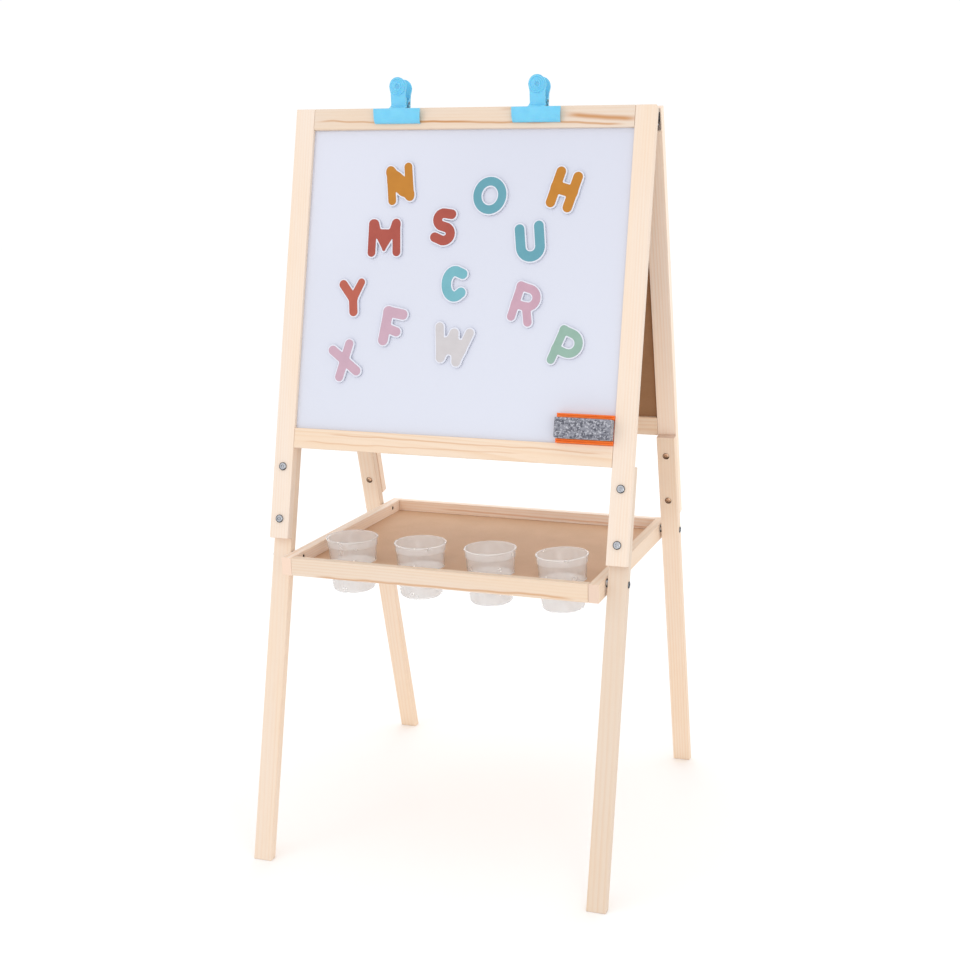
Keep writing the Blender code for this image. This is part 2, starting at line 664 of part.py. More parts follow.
def build_eraser(front):
    """A channel of plastic with a block of felt between its lips."""
    right = INNER_X - GAP
    left = right - ERASER_LENGTH
    low = below_top(BOTTOM_RAIL_END - BOTTOM_RAIL_HEIGHT) + GAP
    high = low + ERASER_HEIGHT
    back = PANEL_FACE_Y - GAP
    body = box((left, back - ERASER_BODY_DEPTH, low), (right, back, high), 0.0008)
    channel = box((left - 0.01, back - ERASER_BODY_DEPTH - 0.01, low + LIP_HEIGHT),
                  (right + 0.01, back - 0.003, high - LIP_HEIGHT))
    place("eraser_body", body, "orange_plastic", front, [channel])
    felt_back = back - 0.003 - GAP
    felt = box((left + 0.0004, felt_back - FELT_DEPTH, low + LIP_HEIGHT + GAP),
               (right - 0.0008, felt_back, high - LIP_HEIGHT - GAP), 0.0012)
    place("eraser_felt", felt, "felt", front)


def arc(centre, radii, start, end, steps):
    """Points on an ellipse's arc, angles in degrees."""
    points = []
    for step in range(steps + 1):
        angle = radians(start + (end - start) * step / steps)
        points.append((centre[0] + radii[0] * cos(angle), centre[1] + radii[1] * sin(angle)))
    return points


def stroke_outline(path, radius):
    """Outline of a round-ended stroke; radius is one number, or one for each end."""
    first, last = radius if isinstance(radius, tuple) else (radius, radius)
    count = len(path)
    left = []
    right = []
    for index, (x, y) in enumerate(path):
        before = path[max(index - 1, 0)]
        after = path[min(index + 1, count - 1)]
        dx = after[0] - before[0]
        dy = after[1] - before[1]
        size = hypot(dx, dy)
        width = first + (last - first) * index / (count - 1)
        offset = (-dy / size * width, dx / size * width)
        left.append((x + offset[0], y + offset[1]))
        right.append((x - offset[0], y - offset[1]))

    def cap(end, before, width):
        heading = Vector((end[0] - before[0], end[1] - before[1])).normalized()
        side = Vector((-heading.y, heading.x))
        points = []
        for turn in (60, 30, 0, -30, -60):
            reach = heading * cos(radians(turn)) + side * sin(radians(turn))
            points.append((end[0] + reach.x * width, end[1] + reach.y * width))
        return points

    return left + cap(path[-1], path[-2], last) + right[::-1] + cap(path[0], path[1], first)


def letter_shapes():
    """Each letter: place on the board from its middle and top (mm), tilt in degrees, colour, strokes (mm)."""
    bowl_r = arc((2, 9.5), (13, 13), 90, -90, 8)
    bowl_p = arc((3.5, 3.5), (14.5, 14.5), 90, -90, 8)
    s_spine = [(12.5, 18.5)] + arc((0.5, 10.5), (9.5, 9.5), 85, 245, 6)
    s_spine += arc((1.5, -9.8), (10.8, 10.0), 65, -100, 7) + [(-12, -15)]
    c_spine = [(11.5, 14.5)] + arc((0, 0), (13, 18.5), 65, 295, 10) + [(10.5, -12.5)]
    u_spine = [(-14.3, 19)] + arc((0.2, -7.5), (14.5, 14.3), 180, 360, 9) + [(14.9, 20.5)]
    return {
        "N": ((-102.5, 111), 7.5, "mustard", [
            ([(-14, 22), (-14, -23)], 6.2),
            ([(14.5, 23.5), (14.5, -20.5)], 6.2),
            ([(-13, 19), (13.5, -17)], 8.0),
            ([(-7, 7), (7, -7)], 12.5),
        ]),
        "M": ((-122, 190), 0, "brick", [
            ([(-20, 20.5), (-19.5, -22)], 6.2),
            ([(17.5, 22), (20.5, -20.5)], 6.2),
            ([(-17, 20), (0, -17)], (7.0, 2.0)),
            ([(17, 20), (0, -17)], (7.0, 2.0)),
            ([(-14, 6), (14, 6)], 6.5),
            ([(0, 4), (0, -12)], (5.0, 3.0)),
        ]),
        "S": ((-30.5, 173), 0, "brick", [(s_spine, 7.0)]),
        "O": ((39, 127), -8, "teal", [(None, (19, 20.5, 6.2))]),
        "H": ((151, 118), -16.4, "mustard", [
            ([(-13.3, 22.5), (-13.5, -23)], 7.1),
            ([(13.3, 22.5), (13, -22.5)], 7.1),
            ([(-12, 0), (12, 0)], 8.5),
        ]),
        "U": ((104.5, 192), 8, "teal", [(u_spine, 7.2)]),
        "Y": ((-167.5, 279), 0, "brick", [
            ([(-16, 19), (1, -2), (3, -21)], 6.6),
            ([(13, 23), (1, -2)], (5.6, 6.4)),
        ]),
        "C": ((-6.5, 255), 0, "teal", [(c_spine, 7.3)]),
        "R": ((102.5, 281), -15.5, "mauve", [
            ([(-13.5, 22.5), (-13.5, -23)], 6.0),
            ([(-13.5, 22.5)] + bowl_r + [(-13.5, -4)], 6.0),
            ([(4, -4), (13, -23.5)], 6.2),
        ]),
        "F": ((-99.5, 319.5), -8, "mauve", [
            ([(-11.5, 20), (-11.5, -22.5)], 7.6),
            ([(-11.5, 20), (12, 19.5)], 7.4),
            ([(-10, -4), (7, -7)], 6.6),
        ]),
        "X": ((-174, 372), 0, "mauve", [([(-20, 14), (20, -15)], 6.8), ([(6, 24.5), (-7, -25)], 6.5)]),
        "W": ((-1.5, 341.5), 0, "oat", [
            ([(-24, 23.5), (-20, -21)], 6.3),
            ([(-20, -21), (-0.8, 15)], 6.3),
            ([(-0.8, 15), (4.7, -26)], 6.3),
            ([(4.7, -26), (23.3, 16)], 6.3),
            ([(-11, -3), (7, -6)], 12),
        ]),
        "P": ((168, 337), -21.4, "sage", [
            ([(-11.3, 18), (-11.3, -28)], 5.9),
            ([(-11.3, 18)] + bowl_p + [(-11.3, -11)], 6.0),
        ]),
    }


def build_letter(name, spot, tilt, colour, strokes, front):
    """A flat magnet: its strokes are swept outwards from the board and joined into one solid."""
    turn = radians(tilt)
    back = PANEL_FACE_Y - GAP

    def on_board(point):
        x = point[0] * cos(turn) - point[1] * sin(turn)
        z = point[0] * sin(turn) + point[1] * cos(turn)
        return ((spot[0] + x) / 1000, below_top(spot[1] / 1000) + z / 1000)

    border = LETTER_BORDER * 1000
    slabs = []
    cuts = []
    for path, radius in strokes:
        if path is None:
            across, up, width = radius
            rim = arc((0, 0), (across + width + border, up + width + border), 0, 345, 23)
            hole = arc((0, 0), (across - width - border, up - width - border), 0, 337.5, 15)
            slabs.append(prism([on_board(point) for point in rim], back - LETTER_THICK, back, "y"))
            cuts.append(prism([on_board(point) for point in hole], back - 0.01, back + 0.01, "y"))
            continue
        grown = tuple(r + border for r in radius) if isinstance(radius, tuple) else radius + border
        outline = [on_board(point) for point in stroke_outline(path, grown)]
        slabs.append(prism(outline, back - LETTER_THICK, back, "y"))
    place(name, slabs[0], colour, front, cuts, slabs[1:])


def build_letters(front):
    for letter, (spot, tilt, colour, strokes) in letter_shapes().items():
        build_letter(f"letter_{letter.lower()}", spot, tilt, colour, strokes, front)


# ---- Assembly ---------------------------------------------------------------------------------------

clear_scene()
MATERIALS = make_materials()
front_frame = empty("front_frame", (0, 0, PIN_HEIGHT), (-SPLAY, 0, 0))
rear_frame = empty("rear_frame", (0, 0, PIN_HEIGHT), (-SPLAY, 0, pi))
tray_pivot = empty("tray_pivot", TRAY_PIVOT)
build_frame("front", front_frame, "whiteboard_panel", "whiteboard")
build_frame("rear", rear_frame, "chalkboard_panel", "chalkboard")
build_hinges(front_frame, rear_frame)
build_tray_bolts("front", front_frame)
build_tray_bolts("rear", rear_frame)
build_tray(tray_pivot)
build_cups(tray_pivot)
build_clips(front_frame)
build_eraser(front_frame)
build_letters(front_frame)
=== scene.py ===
import json
from math import asin, atan2, cos, degrees, pi, radians, sin

import bmesh
import bpy
import numpy as np
from mathutils import Euler, Matrix, Vector, noise
from mathutils.geometry import tessellate_polygon


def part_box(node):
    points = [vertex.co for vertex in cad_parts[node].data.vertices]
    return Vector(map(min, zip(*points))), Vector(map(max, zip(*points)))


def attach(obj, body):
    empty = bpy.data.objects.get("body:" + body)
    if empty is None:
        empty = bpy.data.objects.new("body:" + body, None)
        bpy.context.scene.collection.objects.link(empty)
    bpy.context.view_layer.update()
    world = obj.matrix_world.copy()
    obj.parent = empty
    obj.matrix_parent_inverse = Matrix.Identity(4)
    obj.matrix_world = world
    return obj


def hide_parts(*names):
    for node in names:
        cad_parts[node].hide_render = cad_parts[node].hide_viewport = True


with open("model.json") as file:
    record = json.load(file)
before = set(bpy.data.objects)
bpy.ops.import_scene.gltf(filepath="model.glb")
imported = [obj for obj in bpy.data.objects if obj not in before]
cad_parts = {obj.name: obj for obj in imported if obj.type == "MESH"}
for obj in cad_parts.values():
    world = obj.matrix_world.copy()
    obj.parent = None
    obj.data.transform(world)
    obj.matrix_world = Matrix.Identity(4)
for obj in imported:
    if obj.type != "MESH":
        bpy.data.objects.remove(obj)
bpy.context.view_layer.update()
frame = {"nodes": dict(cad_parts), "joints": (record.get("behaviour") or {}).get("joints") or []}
joints = {joint["name"]: joint for joint in frame["joints"]}
nodes = frame["nodes"]

# The two frames lean on one fold pin; each has axes of its own, with local -Y out of its show face
foldPin = Vector(joints["fold"]["pos_m"])
lean = asin(joints["eraser_lift"]["axis"][2])
frontPlace = Matrix.Translation(foldPin) @ Matrix.Rotation(-lean, 4, "X")
rearPlace = Matrix.Translation(foldPin) @ Matrix.Rotation(pi, 4, "Z") @ Matrix.Rotation(-lean, 4, "X")
upright = Matrix.Identity(4)


def localBox(nodeName, place):
    turned = [place.inverted() @ vertex.co for vertex in nodes[nodeName].data.vertices]
    low = Vector([min(point[axis] for point in turned) for axis in range(3)])
    high = Vector([max(point[axis] for point in turned) for axis in range(3)])
    return low, high


boardFace = localBox("whiteboard_panel", frontPlace)[0].y
railFace = localBox("front_top_rail", frontPlace)[0].y
railBack = localBox("front_top_rail", frontPlace)[1].y
postTop = localBox("front_post_left", frontPlace)[1].z
print("frame loaded, lean", round(degrees(lean), 2))


# camera, lights and floor

cameraView = {"place": (0.7494, -1.8753, 1.0083), "down": 13.48, "turn": 16.40, "lens": 49.81,
              "shiftX": -0.1302, "shiftY": 0.0136}
lightRig = {
    "world": 1.03,
    "areas": [  # name, place, size, power
        ("keyLight", (-1.9, -2.2, 2.6), 1.6, 5),
        ("trayLight", (0.9, -1.3, 0.75), 0.5, 1.6),
        ("topLight", (0.2, 0.6, 3.2), 2.4, 4),
        ("backLight", (-0.8, 2.8, 2.0), 2.0, 8),
    ],
}


def placeCamera():
    camera = bpy.data.cameras.new("camera")
    camera.lens = cameraView["lens"]
    camera.shift_x = cameraView["shiftX"]
    camera.shift_y = cameraView["shiftY"]
    camera.clip_end = 60
    viewer = bpy.data.objects.new("camera", camera)
    viewer.location = cameraView["place"]
    viewer.rotation_euler = (radians(90 - cameraView["down"]), 0, radians(cameraView["turn"]))
    bpy.context.collection.objects.link(viewer)
    bpy.context.scene.camera = viewer
    bpy.context.scene.view_settings.view_transform = "Standard"


def placeLights():
    world = bpy.data.worlds.new("studio")
    bpy.context.scene.world = world
    world.use_nodes = True
    background = world.node_tree.nodes["Background"].inputs
    background["Color"].default_value = (1, 1, 1, 1)
    background["Strength"].default_value = lightRig["world"]
    target = Vector((0, 0, 0.6))
    for name, place, size, power in lightRig["areas"]:
        lamp = bpy.data.lights.new(name, "AREA")
        lamp.shape = "DISK"
        lamp.size = size
        lamp.energy = power
        item = bpy.data.objects.new(name, lamp)
        item.location = place
        item.rotation_euler = (target - item.location).to_track_quat("-Z", "Y").to_euler()
        bpy.context.collection.objects.link(item)


def layFloor():
    reach = 14
    corners = [(-reach, -reach, 0), (reach, -reach, 0), (reach, reach, 0), (-reach, reach, 0)]
    mesh = bpy.data.meshes.new("floor")
    mesh.from_pydata(corners, [], [(0, 1, 2, 3)])
    floor = bpy.data.objects.new("floor", mesh)
    floor.location.z = -0.0004
    bpy.context.collection.objects.link(floor)
    floor.data.materials.append(floorMaterial())


# shader helpers

def addNode(tree, kind, sockets=None, **settings):
    made = tree.nodes.new(kind)
    made.location = (len(tree.nodes) % 12 * 190, len(tree.nodes) // 12 * -260)
    for key, value in settings.items():
        setattr(made, key, value)
    for socket, value in (sockets or {}).items():
        if isinstance(value, bpy.types.NodeSocket):
            tree.links.new(value, made.inputs[socket])
        else:
            made.inputs[socket].default_value = value
    return made


def maths(tree, operation, *values):
    return addNode(tree, "ShaderNodeMath", dict(enumerate(values)), operation=operation).outputs[0]


def remap(tree, value, low, high, toLow=0.0, toHigh=1.0):
    sockets = {"Value": value, "From Min": low, "From Max": high, "To Min": toLow, "To Max": toHigh}
    return addNode(tree, "ShaderNodeMapRange", sockets, interpolation_type="SMOOTHSTEP").outputs[0]


def blendColour(tree, factor, first, second, kind="MIX"):
    pair = [(*tone, 1) if isinstance(tone, tuple) and len(tone) == 3 else tone for tone in (first, second)]
    sockets = {0: factor, 6: pair[0], 7: pair[1]}
    return addNode(tree, "ShaderNodeMix", sockets, data_type="RGBA", blend_type=kind).outputs[2]


def vectorMaths(tree, operation, sockets, output=0):
    return addNode(tree, "ShaderNodeVectorMath", sockets, operation=operation).outputs[output]


def stretched(tree, vector, scale):
    return vectorMaths(tree, "MULTIPLY", {0: vector, 1: scale})


def partsOf(tree, vector):
    return addNode(tree, "ShaderNodeSeparateXYZ", {0: vector}).outputs


def mapped(tree, vector, matrix):
    sockets = {"Vector": vector, "Location": matrix.to_translation(), "Rotation": matrix.to_euler()}
    return addNode(tree, "ShaderNodeMapping", sockets).outputs[0]


def noiseOf(tree, vector, scale, detail=3.0, roughness=0.5, output=0):
    sockets = {"Vector": vector, "Scale": scale, "Detail": detail, "Roughness": roughness}
    return addNode(tree, "ShaderNodeTexNoise", sockets).outputs[output]


def newGroup(name, inputs, outputs):
    tree = bpy.data.node_groups.new(name, "ShaderNodeTree")
    for label, value in inputs.items():
        kind = "NodeSocketVector" if value is None else "NodeSocketFloat"
        socket = tree.interface.new_socket(label, in_out="INPUT", socket_type=kind)
        if value is not None:
            socket.default_value = value
    for label in outputs:
        tree.interface.new_socket(label, in_out="OUTPUT", socket_type="NodeSocketFloat")
    return tree, tree.nodes.new("NodeGroupInput").outputs, tree.nodes.new("NodeGroupOutput").inputs


def fillGroup(tree, group, sockets):
    return addNode(tree, "ShaderNodeGroup", sockets, node_tree=group).outputs


def newMaterial(name, **values):
    material = bpy.data.materials.new(name)
    material.use_nodes = True
    tree = material.node_tree
    shader = tree.nodes["Principled BSDF"]
    for socket, value in values.items():
        shader.inputs[socket.replace("_", " ")].default_value = value
    vector = addNode(tree, "ShaderNodeTexCoord").outputs["Object"]
    return material, tree, shader.inputs, vector


def bumpOf(tree, height, distance, strength=1.0):
    sockets = {"Height": height, "Distance": distance, "Strength": strength}
    return addNode(tree, "ShaderNodeBump", sockets).outputs[0]


def wire(tree, shader, **values):
    for socket, value in values.items():
        tree.links.new(value, shader[socket.replace("_", " ")])


# effect groups, each built once

def makeGrainGroup():
    # Growth rings round a far-off pith line that runs along X, with fibres and soft patches
    inputs = {"Vector": None, "Spacing": 0.003, "Wander": 0.004}
    tree, given, result = newGroup("pineGrain", inputs, ("Ring", "Fibre", "Patch"))
    slow = stretched(tree, given["Vector"], (1.4, 9.0, 9.0))
    drift = noiseOf(tree, slow, 1.6, 2.0, output=1)
    shift = vectorMaths(tree, "SUBTRACT", {0: drift, 1: (0.5, 0.5, 0.5)})
    shift = vectorMaths(tree, "SCALE", {0: shift, 3: given["Wander"]})
    moved = vectorMaths(tree, "ADD", {0: given["Vector"], 1: shift})
    radius = vectorMaths(tree, "LENGTH", {0: stretched(tree, moved, (0, 1, 1))}, 1)
    year = maths(tree, "FRACT", maths(tree, "DIVIDE", radius, given["Spacing"]))
    rise = remap(tree, year, 0.30, 0.86)
    fall = remap(tree, year, 0.88, 1.0, 1.0, 0.0)
    line = maths(tree, "MULTIPLY", rise, fall)
    strong = noiseOf(tree, stretched(tree, moved, (2.0, 60.0, 60.0)), 1.0, 1.0)
    strong = remap(tree, strong, 0.30, 0.72, 0.35, 1.0)
    tree.links.new(maths(tree, "MULTIPLY", line, strong), result["Ring"])
    threads = stretched(tree, given["Vector"], (22.0, 900.0, 900.0))
    tree.links.new(noiseOf(tree, threads, 1.0, 3.0, 0.6), result["Fibre"])
    tree.links.new(noiseOf(tree, slow, 2.6, 3.0), result["Patch"])
    return tree


def makeStreakGroup():
    # One darker resin line that wanders along X between two ends
    inputs = {"Vector": None, "Line": 0.0, "Slope": 0.0, "Wave": 0.001, "Width": 0.0015, "Start": -0.2,
              "End": 0.2}
    tree, given, result = newGroup("resinStreak", inputs, ("Mask",))
    parts = partsOf(tree, given["Vector"])
    wobble = noiseOf(tree, stretched(tree, given["Vector"], (11.0, 2.0, 2.0)), 1.0, 2.0)
    wobble = maths(tree, "MULTIPLY", maths(tree, "SUBTRACT", wobble, 0.5), given["Wave"])
    middle = maths(tree, "ADD", maths(tree, "MULTIPLY_ADD", parts[0], given["Slope"], given["Line"]), wobble)
    away = maths(tree, "ABSOLUTE", maths(tree, "SUBTRACT", parts[1], middle))
    near = remap(tree, maths(tree, "DIVIDE", away, given["Width"]), 0.0, 1.0, 1.0, 0.0)
    begin = remap(tree, maths(tree, "SUBTRACT", parts[0], given["Start"]), 0.0, 0.03)
    finish = remap(tree, maths(tree, "SUBTRACT", given["End"], parts[0]), 0.0, 0.03)
    mask = maths(tree, "MULTIPLY", maths(tree, "MULTIPLY", near, begin), finish)
    tree.links.new(mask, result["Mask"])
    return tree


def makeMottleGroup():
    # Fine cloudy texture in two sizes, for moulded plastic, lacquer and pressed fibre
    inputs = {"Vector": None, "Coarse": 60.0, "Fine": 900.0}
    tree, given, result = newGroup("fineMottle", inputs, ("Cloud", "Speck"))
    tree.links.new(noiseOf(tree, given["Vector"], given["Coarse"], 3.0), result["Cloud"])
    tree.links.new(noiseOf(tree, given["Vector"], given["Fine"], 2.0, 0.6), result["Speck"])
    return tree


def makeSmearGroup():
    # Wiped marks: long soft strokes laid over each other
    tree, given, result = newGroup("wipeMarks", {"Vector": None, "Size": 9.0}, ("Mask",))
    first = noiseOf(tree, stretched(tree, given["Vector"], (1.0, 1.0, 4.5)), given["Size"], 4.0, 0.6)
    second = noiseOf(tree, stretched(tree, given["Vector"], (3.2, 1.0, 1.0)), given["Size"], 4.0, 0.6)
    both = maths(tree, "MULTIPLY", remap(tree, first, 0.42, 0.72), remap(tree, second, 0.35, 0.75))
    tree.links.new(both, result["Mask"])
    return tree


grainGroup = makeGrainGroup()
streakGroup = makeStreakGroup()
mottleGroup = makeMottleGroup()
smearGroup = makeSmearGroup()
print("effect groups ready")


# pine

pineTones = {"early": (0.870, 0.690, 0.530), "pale": (0.870, 0.755, 0.665), "late": (0.760, 0.450, 0.215),
             "patch": (0.90, 0.655, 0.435), "fibre": (0.70, 0.45, 0.24), "resin": (0.600, 0.250, 0.060),
             "end": (0.790, 0.600, 0.480)}
alongAxes = {  # rows that turn a frame's own axes so that X runs along the wood
    "x": ((1, 0, 0), (0, 1, 0), (0, 0, 1)),
    "y": ((0, 1, 0), (0, 0, 1), (1, 0, 0)),
    "z": ((0, 0, 1), (1, 0, 0), (0, 1, 0)),
}
# Frame that the piece belongs to, axis along its length, distance to the pith line (m), tilt of the pith line
# (degrees), ring spacing (m), strength of the rings, paleness (0 early wood, 1 pale) and brightness; both of
# the last two are the wood's own tone, and painted light where they are raised on pieces that stand in shade
woodCuts = {
    "front_post_left": (frontPlace, "z", (0.060, 0.022), (0.4, 0.9), 0.0042, 0.16, 0.75, 1.00),
    "front_post_right": (frontPlace, "z", (-0.055, 0.030), (-0.5, 0.6), 0.0040, 0.16, 0.70, 0.98),
    "front_top_rail": (frontPlace, "x", (0.030, 0.038), (0.5, 1.1), 0.0046, 0.16, 0.55, 0.90),
    "front_bottom_rail": (frontPlace, "x", (0.050, 0.016), (0.3, 0.8), 0.0030, 0.32, 0.20, 0.97),
    "front_leg_left": (frontPlace, "z", (0.040, -0.034), (0.3, 0.5), 0.0044, 0.18, 0.45, 0.97),
    "front_leg_right": (frontPlace, "z", (-0.035, -0.045), (-0.4, 0.5), 0.0046, 0.20, 0.40, 0.86),
    # painted light: the rear posts are made paler and brighter to lift them out of the shade they stand in
    "rear_post_left": (rearPlace, "z", (0.045, 0.030), (0.4, 0.7), 0.0040, 0.30, 0.70, 1.12),
    "rear_post_right": (rearPlace, "z", (-0.048, 0.025), (0.5, -0.6), 0.0038, 0.30, 0.70, 1.12),
    "rear_top_rail": (rearPlace, "x", (0.040, 0.030), (0.4, 0.9), 0.0040, 0.36, 0.25, 1.00),
    "rear_bottom_rail": (rearPlace, "x", (0.036, 0.020), (0.4, 0.7), 0.0034, 0.40, 0.25, 1.00),
    "rear_leg_left": (rearPlace, "z", (0.030, -0.040), (0.5, 0.4), 0.0042, 0.30, 0.25, 1.00),
    "rear_leg_right": (rearPlace, "z", (-0.038, -0.030), (0.4, 0.5), 0.0042, 0.30, 0.25, 1.00),
    # painted light: this rail and the tray's back rail are made paler and brighter to lift their inner faces
    # out of the tray's shade
    "tray_side_rail_left": (upright, "y", (0.050, 0.020), (0.5, 0.7), 0.0034, 0.34, 1.00, 1.10),
    "tray_side_rail_right": (upright, "y", (0.040, -0.026), (0.5, 0.7), 0.0036, 0.30, 0.30, 0.97),
    "tray_front_rail": (upright, "x", (0.026, 0.034), (0.3, 0.9), 0.0040, 0.22, 0.35, 0.91),
    "tray_back_rail": (upright, "x", (0.044, 0.022), (0.4, 0.8), 0.0032, 0.30, 1.00, 1.13),
}
# Streaks of resin on each rail: height from its middle line (m), slope, wave (m), width (m), start and end
# along the rail (m, from its middle), strength
resinLines = {
    "front_top_rail": [(-0.0050, -0.004, 0.0110, 0.0022, -0.250, 0.010, 0.60),
                       (-0.0060, -0.020, 0.0090, 0.0026, -0.100, 0.240, 0.75),
                       (0.0100, -0.055, 0.0060, 0.0058, 0.138, 0.262, 0.85),
                       (0.0110, 0.020, 0.0030, 0.0034, 0.040, 0.078, 0.55)],
    "tray_front_rail": [(-0.0105, 0.006, 0.0100, 0.0028, -0.200, 0.215, 0.60)],
    "tray_back_rail": [(0.0010, -0.012, 0.0060, 0.0022, -0.160, 0.235, 0.45)],
    "front_bottom_rail": [(0.0060, -0.010, 0.0080, 0.0018, -0.200, 0.240, 0.45),
                          (-0.0040, 0.008, 0.0100, 0.0016, -0.240, 0.120, 0.35)],
}


def addResin(tree, colour, straight, nodeName):
    # the streak group reads the rail's height as its second coordinate
    turned = mapped(tree, straight, Matrix.Rotation(radians(-90), 4, "X"))
    for line, slope, wave, width, start, end, strength in resinLines[nodeName]:
        mask = fillGroup(tree, streakGroup, {"Vector": turned, "Line": line, "Slope": slope, "Wave": wave,
                                             "Width": width, "Start": start, "End": end})["Mask"]
        colour = blendColour(tree, maths(tree, "MULTIPLY", mask, strength), colour, pineTones["resin"])
    return colour


def pineMaterial(nodeName):
    place, lengthAxis, pith, tilt, spacing, ringStrength, palenessAndPaintedLight, tone = woodCuts[nodeName]
    material, tree, shader, vector = newMaterial("pine_" + nodeName, Roughness=0.52, Specular_IOR_Level=0.38)
    low, high = localBox(nodeName, place)
    axes = Matrix(alongAxes[lengthAxis]).to_4x4()
    toWood = axes @ Matrix.Translation(-(low + high) / 2) @ place.inverted()
    straight = mapped(tree, vector, toWood)
    leaning = Euler((0, radians(tilt[0]), radians(tilt[1]))).to_matrix().to_4x4()
    cutPlace = len(nodeName) * 0.37  # each piece comes from another stretch of the log
    toPith = Matrix.Translation((cutPlace, pith[0], pith[1])) @ leaning @ toWood
    skewed = mapped(tree, vector, toPith)
    grain = fillGroup(tree, grainGroup, {"Vector": skewed, "Spacing": spacing, "Wander": 0.006})
    # paleness: the wood's own tone, and painted light on the pieces that stand in shade
    colour = blendColour(tree, palenessAndPaintedLight, pineTones["early"], pineTones["pale"])
    colour = blendColour(tree, remap(tree, grain["Patch"], 0.35, 0.75, 0.0, 0.35), colour, pineTones["patch"])
    lateWood = maths(tree, "MULTIPLY", grain["Ring"], ringStrength)
    colour = blendColour(tree, lateWood, colour, pineTones["late"])
    colour = blendColour(tree, remap(tree, grain["Fibre"], 0.50, 0.80, 0.0, 0.16), colour, pineTones["fibre"])
    if nodeName in resinLines:
        colour = addResin(tree, colour, straight, nodeName)
    fromMiddle = maths(tree, "ABSOLUTE", partsOf(tree, straight)[0])
    length = (high - low)["xyz".index(lengthAxis)]
    cutEnd = maths(tree, "GREATER_THAN", fromMiddle, length / 2 - 0.0004)
    colour = blendColour(tree, cutEnd, colour, pineTones["end"])
    # brightness: the wood's own tone, and painted light where it is raised above 1 on pieces in shade
    colour = addNode(tree, "ShaderNodeHueSaturation", {"Color": colour, "Value": tone}).outputs[0]
    rough = maths(tree, "MULTIPLY_ADD", grain["Ring"], -0.10, 0.56)
    rough = maths(tree, "MULTIPLY_ADD", grain["Fibre"], 0.10, rough)
    height = maths(tree, "MULTIPLY_ADD", grain["Ring"], 0.5, grain["Fibre"])
    wire(tree, shader, Base_Color=colour, Roughness=rough, Normal=bumpOf(tree, height, 0.00012, 0.6))
    return material


# floor

floorTones = ((0.985, 0.985, 0.985), (0.995, 0.995, 0.995))


def floorMaterial():
    material, tree, shader, vector = newMaterial("studioFloor", Roughness=0.9, Specular_IOR_Level=0.1)
    cloud = fillGroup(tree, mottleGroup, {"Vector": vector, "Coarse": 1.5, "Fine": 40.0})["Cloud"]
    wire(tree, shader, Base_Color=blendColour(tree, cloud, *floorTones))
    return material


# boards

# face is the coat's own colour; shade is a painted shade, laid on more towards the top of each board
boardLooks = {
    "whiteboard_panel": {"place": frontPlace, "face": (0.675, 0.698, 0.795), "shade": (0.650, 0.668, 0.768),
                         "roughness": 0.22, "coat": 0.5, "marks": 0.0, "markColour": (0.70, 0.71, 0.80)},
    "chalkboard_panel": {"place": rearPlace, "face": (0.022, 0.026, 0.026), "shade": (0.016, 0.019, 0.020),
                         "roughness": 0.82, "coat": 0.0, "marks": 0.22, "markColour": (0.20, 0.21, 0.21)},
}
hardboardTones = {
    "tray": ((0.710, 0.460, 0.295), (0.665, 0.425, 0.265), (0.40, 0.22, 0.12)),
    "panel": ((0.370, 0.195, 0.095), (0.325, 0.165, 0.075), (0.20, 0.09, 0.04)),
}


def hardboardColour(tree, vector, kind):
    light, dark, grit = hardboardTones[kind]
    mottle = fillGroup(tree, mottleGroup, {"Vector": vector, "Coarse": 22.0, "Fine": 1300.0})
    base = blendColour(tree, remap(tree, mottle["Cloud"], 0.3, 0.75), light, dark)
    gritty = remap(tree, mottle["Speck"], 0.50, 0.72, 0.0, 0.35)
    return blendColour(tree, gritty, base, grit), mottle["Speck"]


def panelMaterial(nodeName):
    # A coated face on a brown fibre board: the coat stops a little way into the panel's thickness
    look = boardLooks[nodeName]
    material, tree, shader, vector = newMaterial("coated_" + nodeName, Coat_Weight=look["coat"],
                                                 Coat_Roughness=0.12)
    own = mapped(tree, vector, look["place"].inverted())
    low, high = localBox(nodeName, look["place"])
    parts = partsOf(tree, own)
    onFace = maths(tree, "LESS_THAN", parts[1], low.y + (high.y - low.y) * 0.4)
    # painted shade: each board's coat darkens from the face colour at the bottom to the shade colour at the top
    paintedShadeRise = remap(tree, parts[2], low.z, high.z)
    coatColour = blendColour(tree, paintedShadeRise, look["face"], look["shade"])
    marks = fillGroup(tree, smearGroup, {"Vector": own, "Size": 7.0})["Mask"]
    wiped = maths(tree, "MULTIPLY", marks, look["marks"])
    coatColour = blendColour(tree, wiped, coatColour, look["markColour"])
    fibre, speck = hardboardColour(tree, own, "panel")
    coatRough = maths(tree, "MULTIPLY_ADD", marks, look["marks"] * 0.7, look["roughness"])
    rough = addNode(tree, "ShaderNodeMix", {0: onFace, 2: 0.85, 3: coatRough}).outputs[0]
    depth = maths(tree, "MULTIPLY", speck, maths(tree, "MULTIPLY_ADD", onFace, -0.85, 1.0))
    wire(tree, shader, Base_Color=blendColour(tree, onFace, fibre, coatColour), Roughness=rough,
         Normal=bumpOf(tree, depth, 0.0002, 0.5))
    return material


def hardboardMaterial():
    material, tree, shader, vector = newMaterial("trayHardboard", Roughness=0.62, Specular_IOR_Level=0.35)
    colour, speck = hardboardColour(tree, vector, "tray")
    wire(tree, shader, Base_Color=colour, Roughness=remap(tree, speck, 0.3, 0.8, 0.55, 0.75),
         Normal=bumpOf(tree, speck, 0.0002, 0.4))
    return material
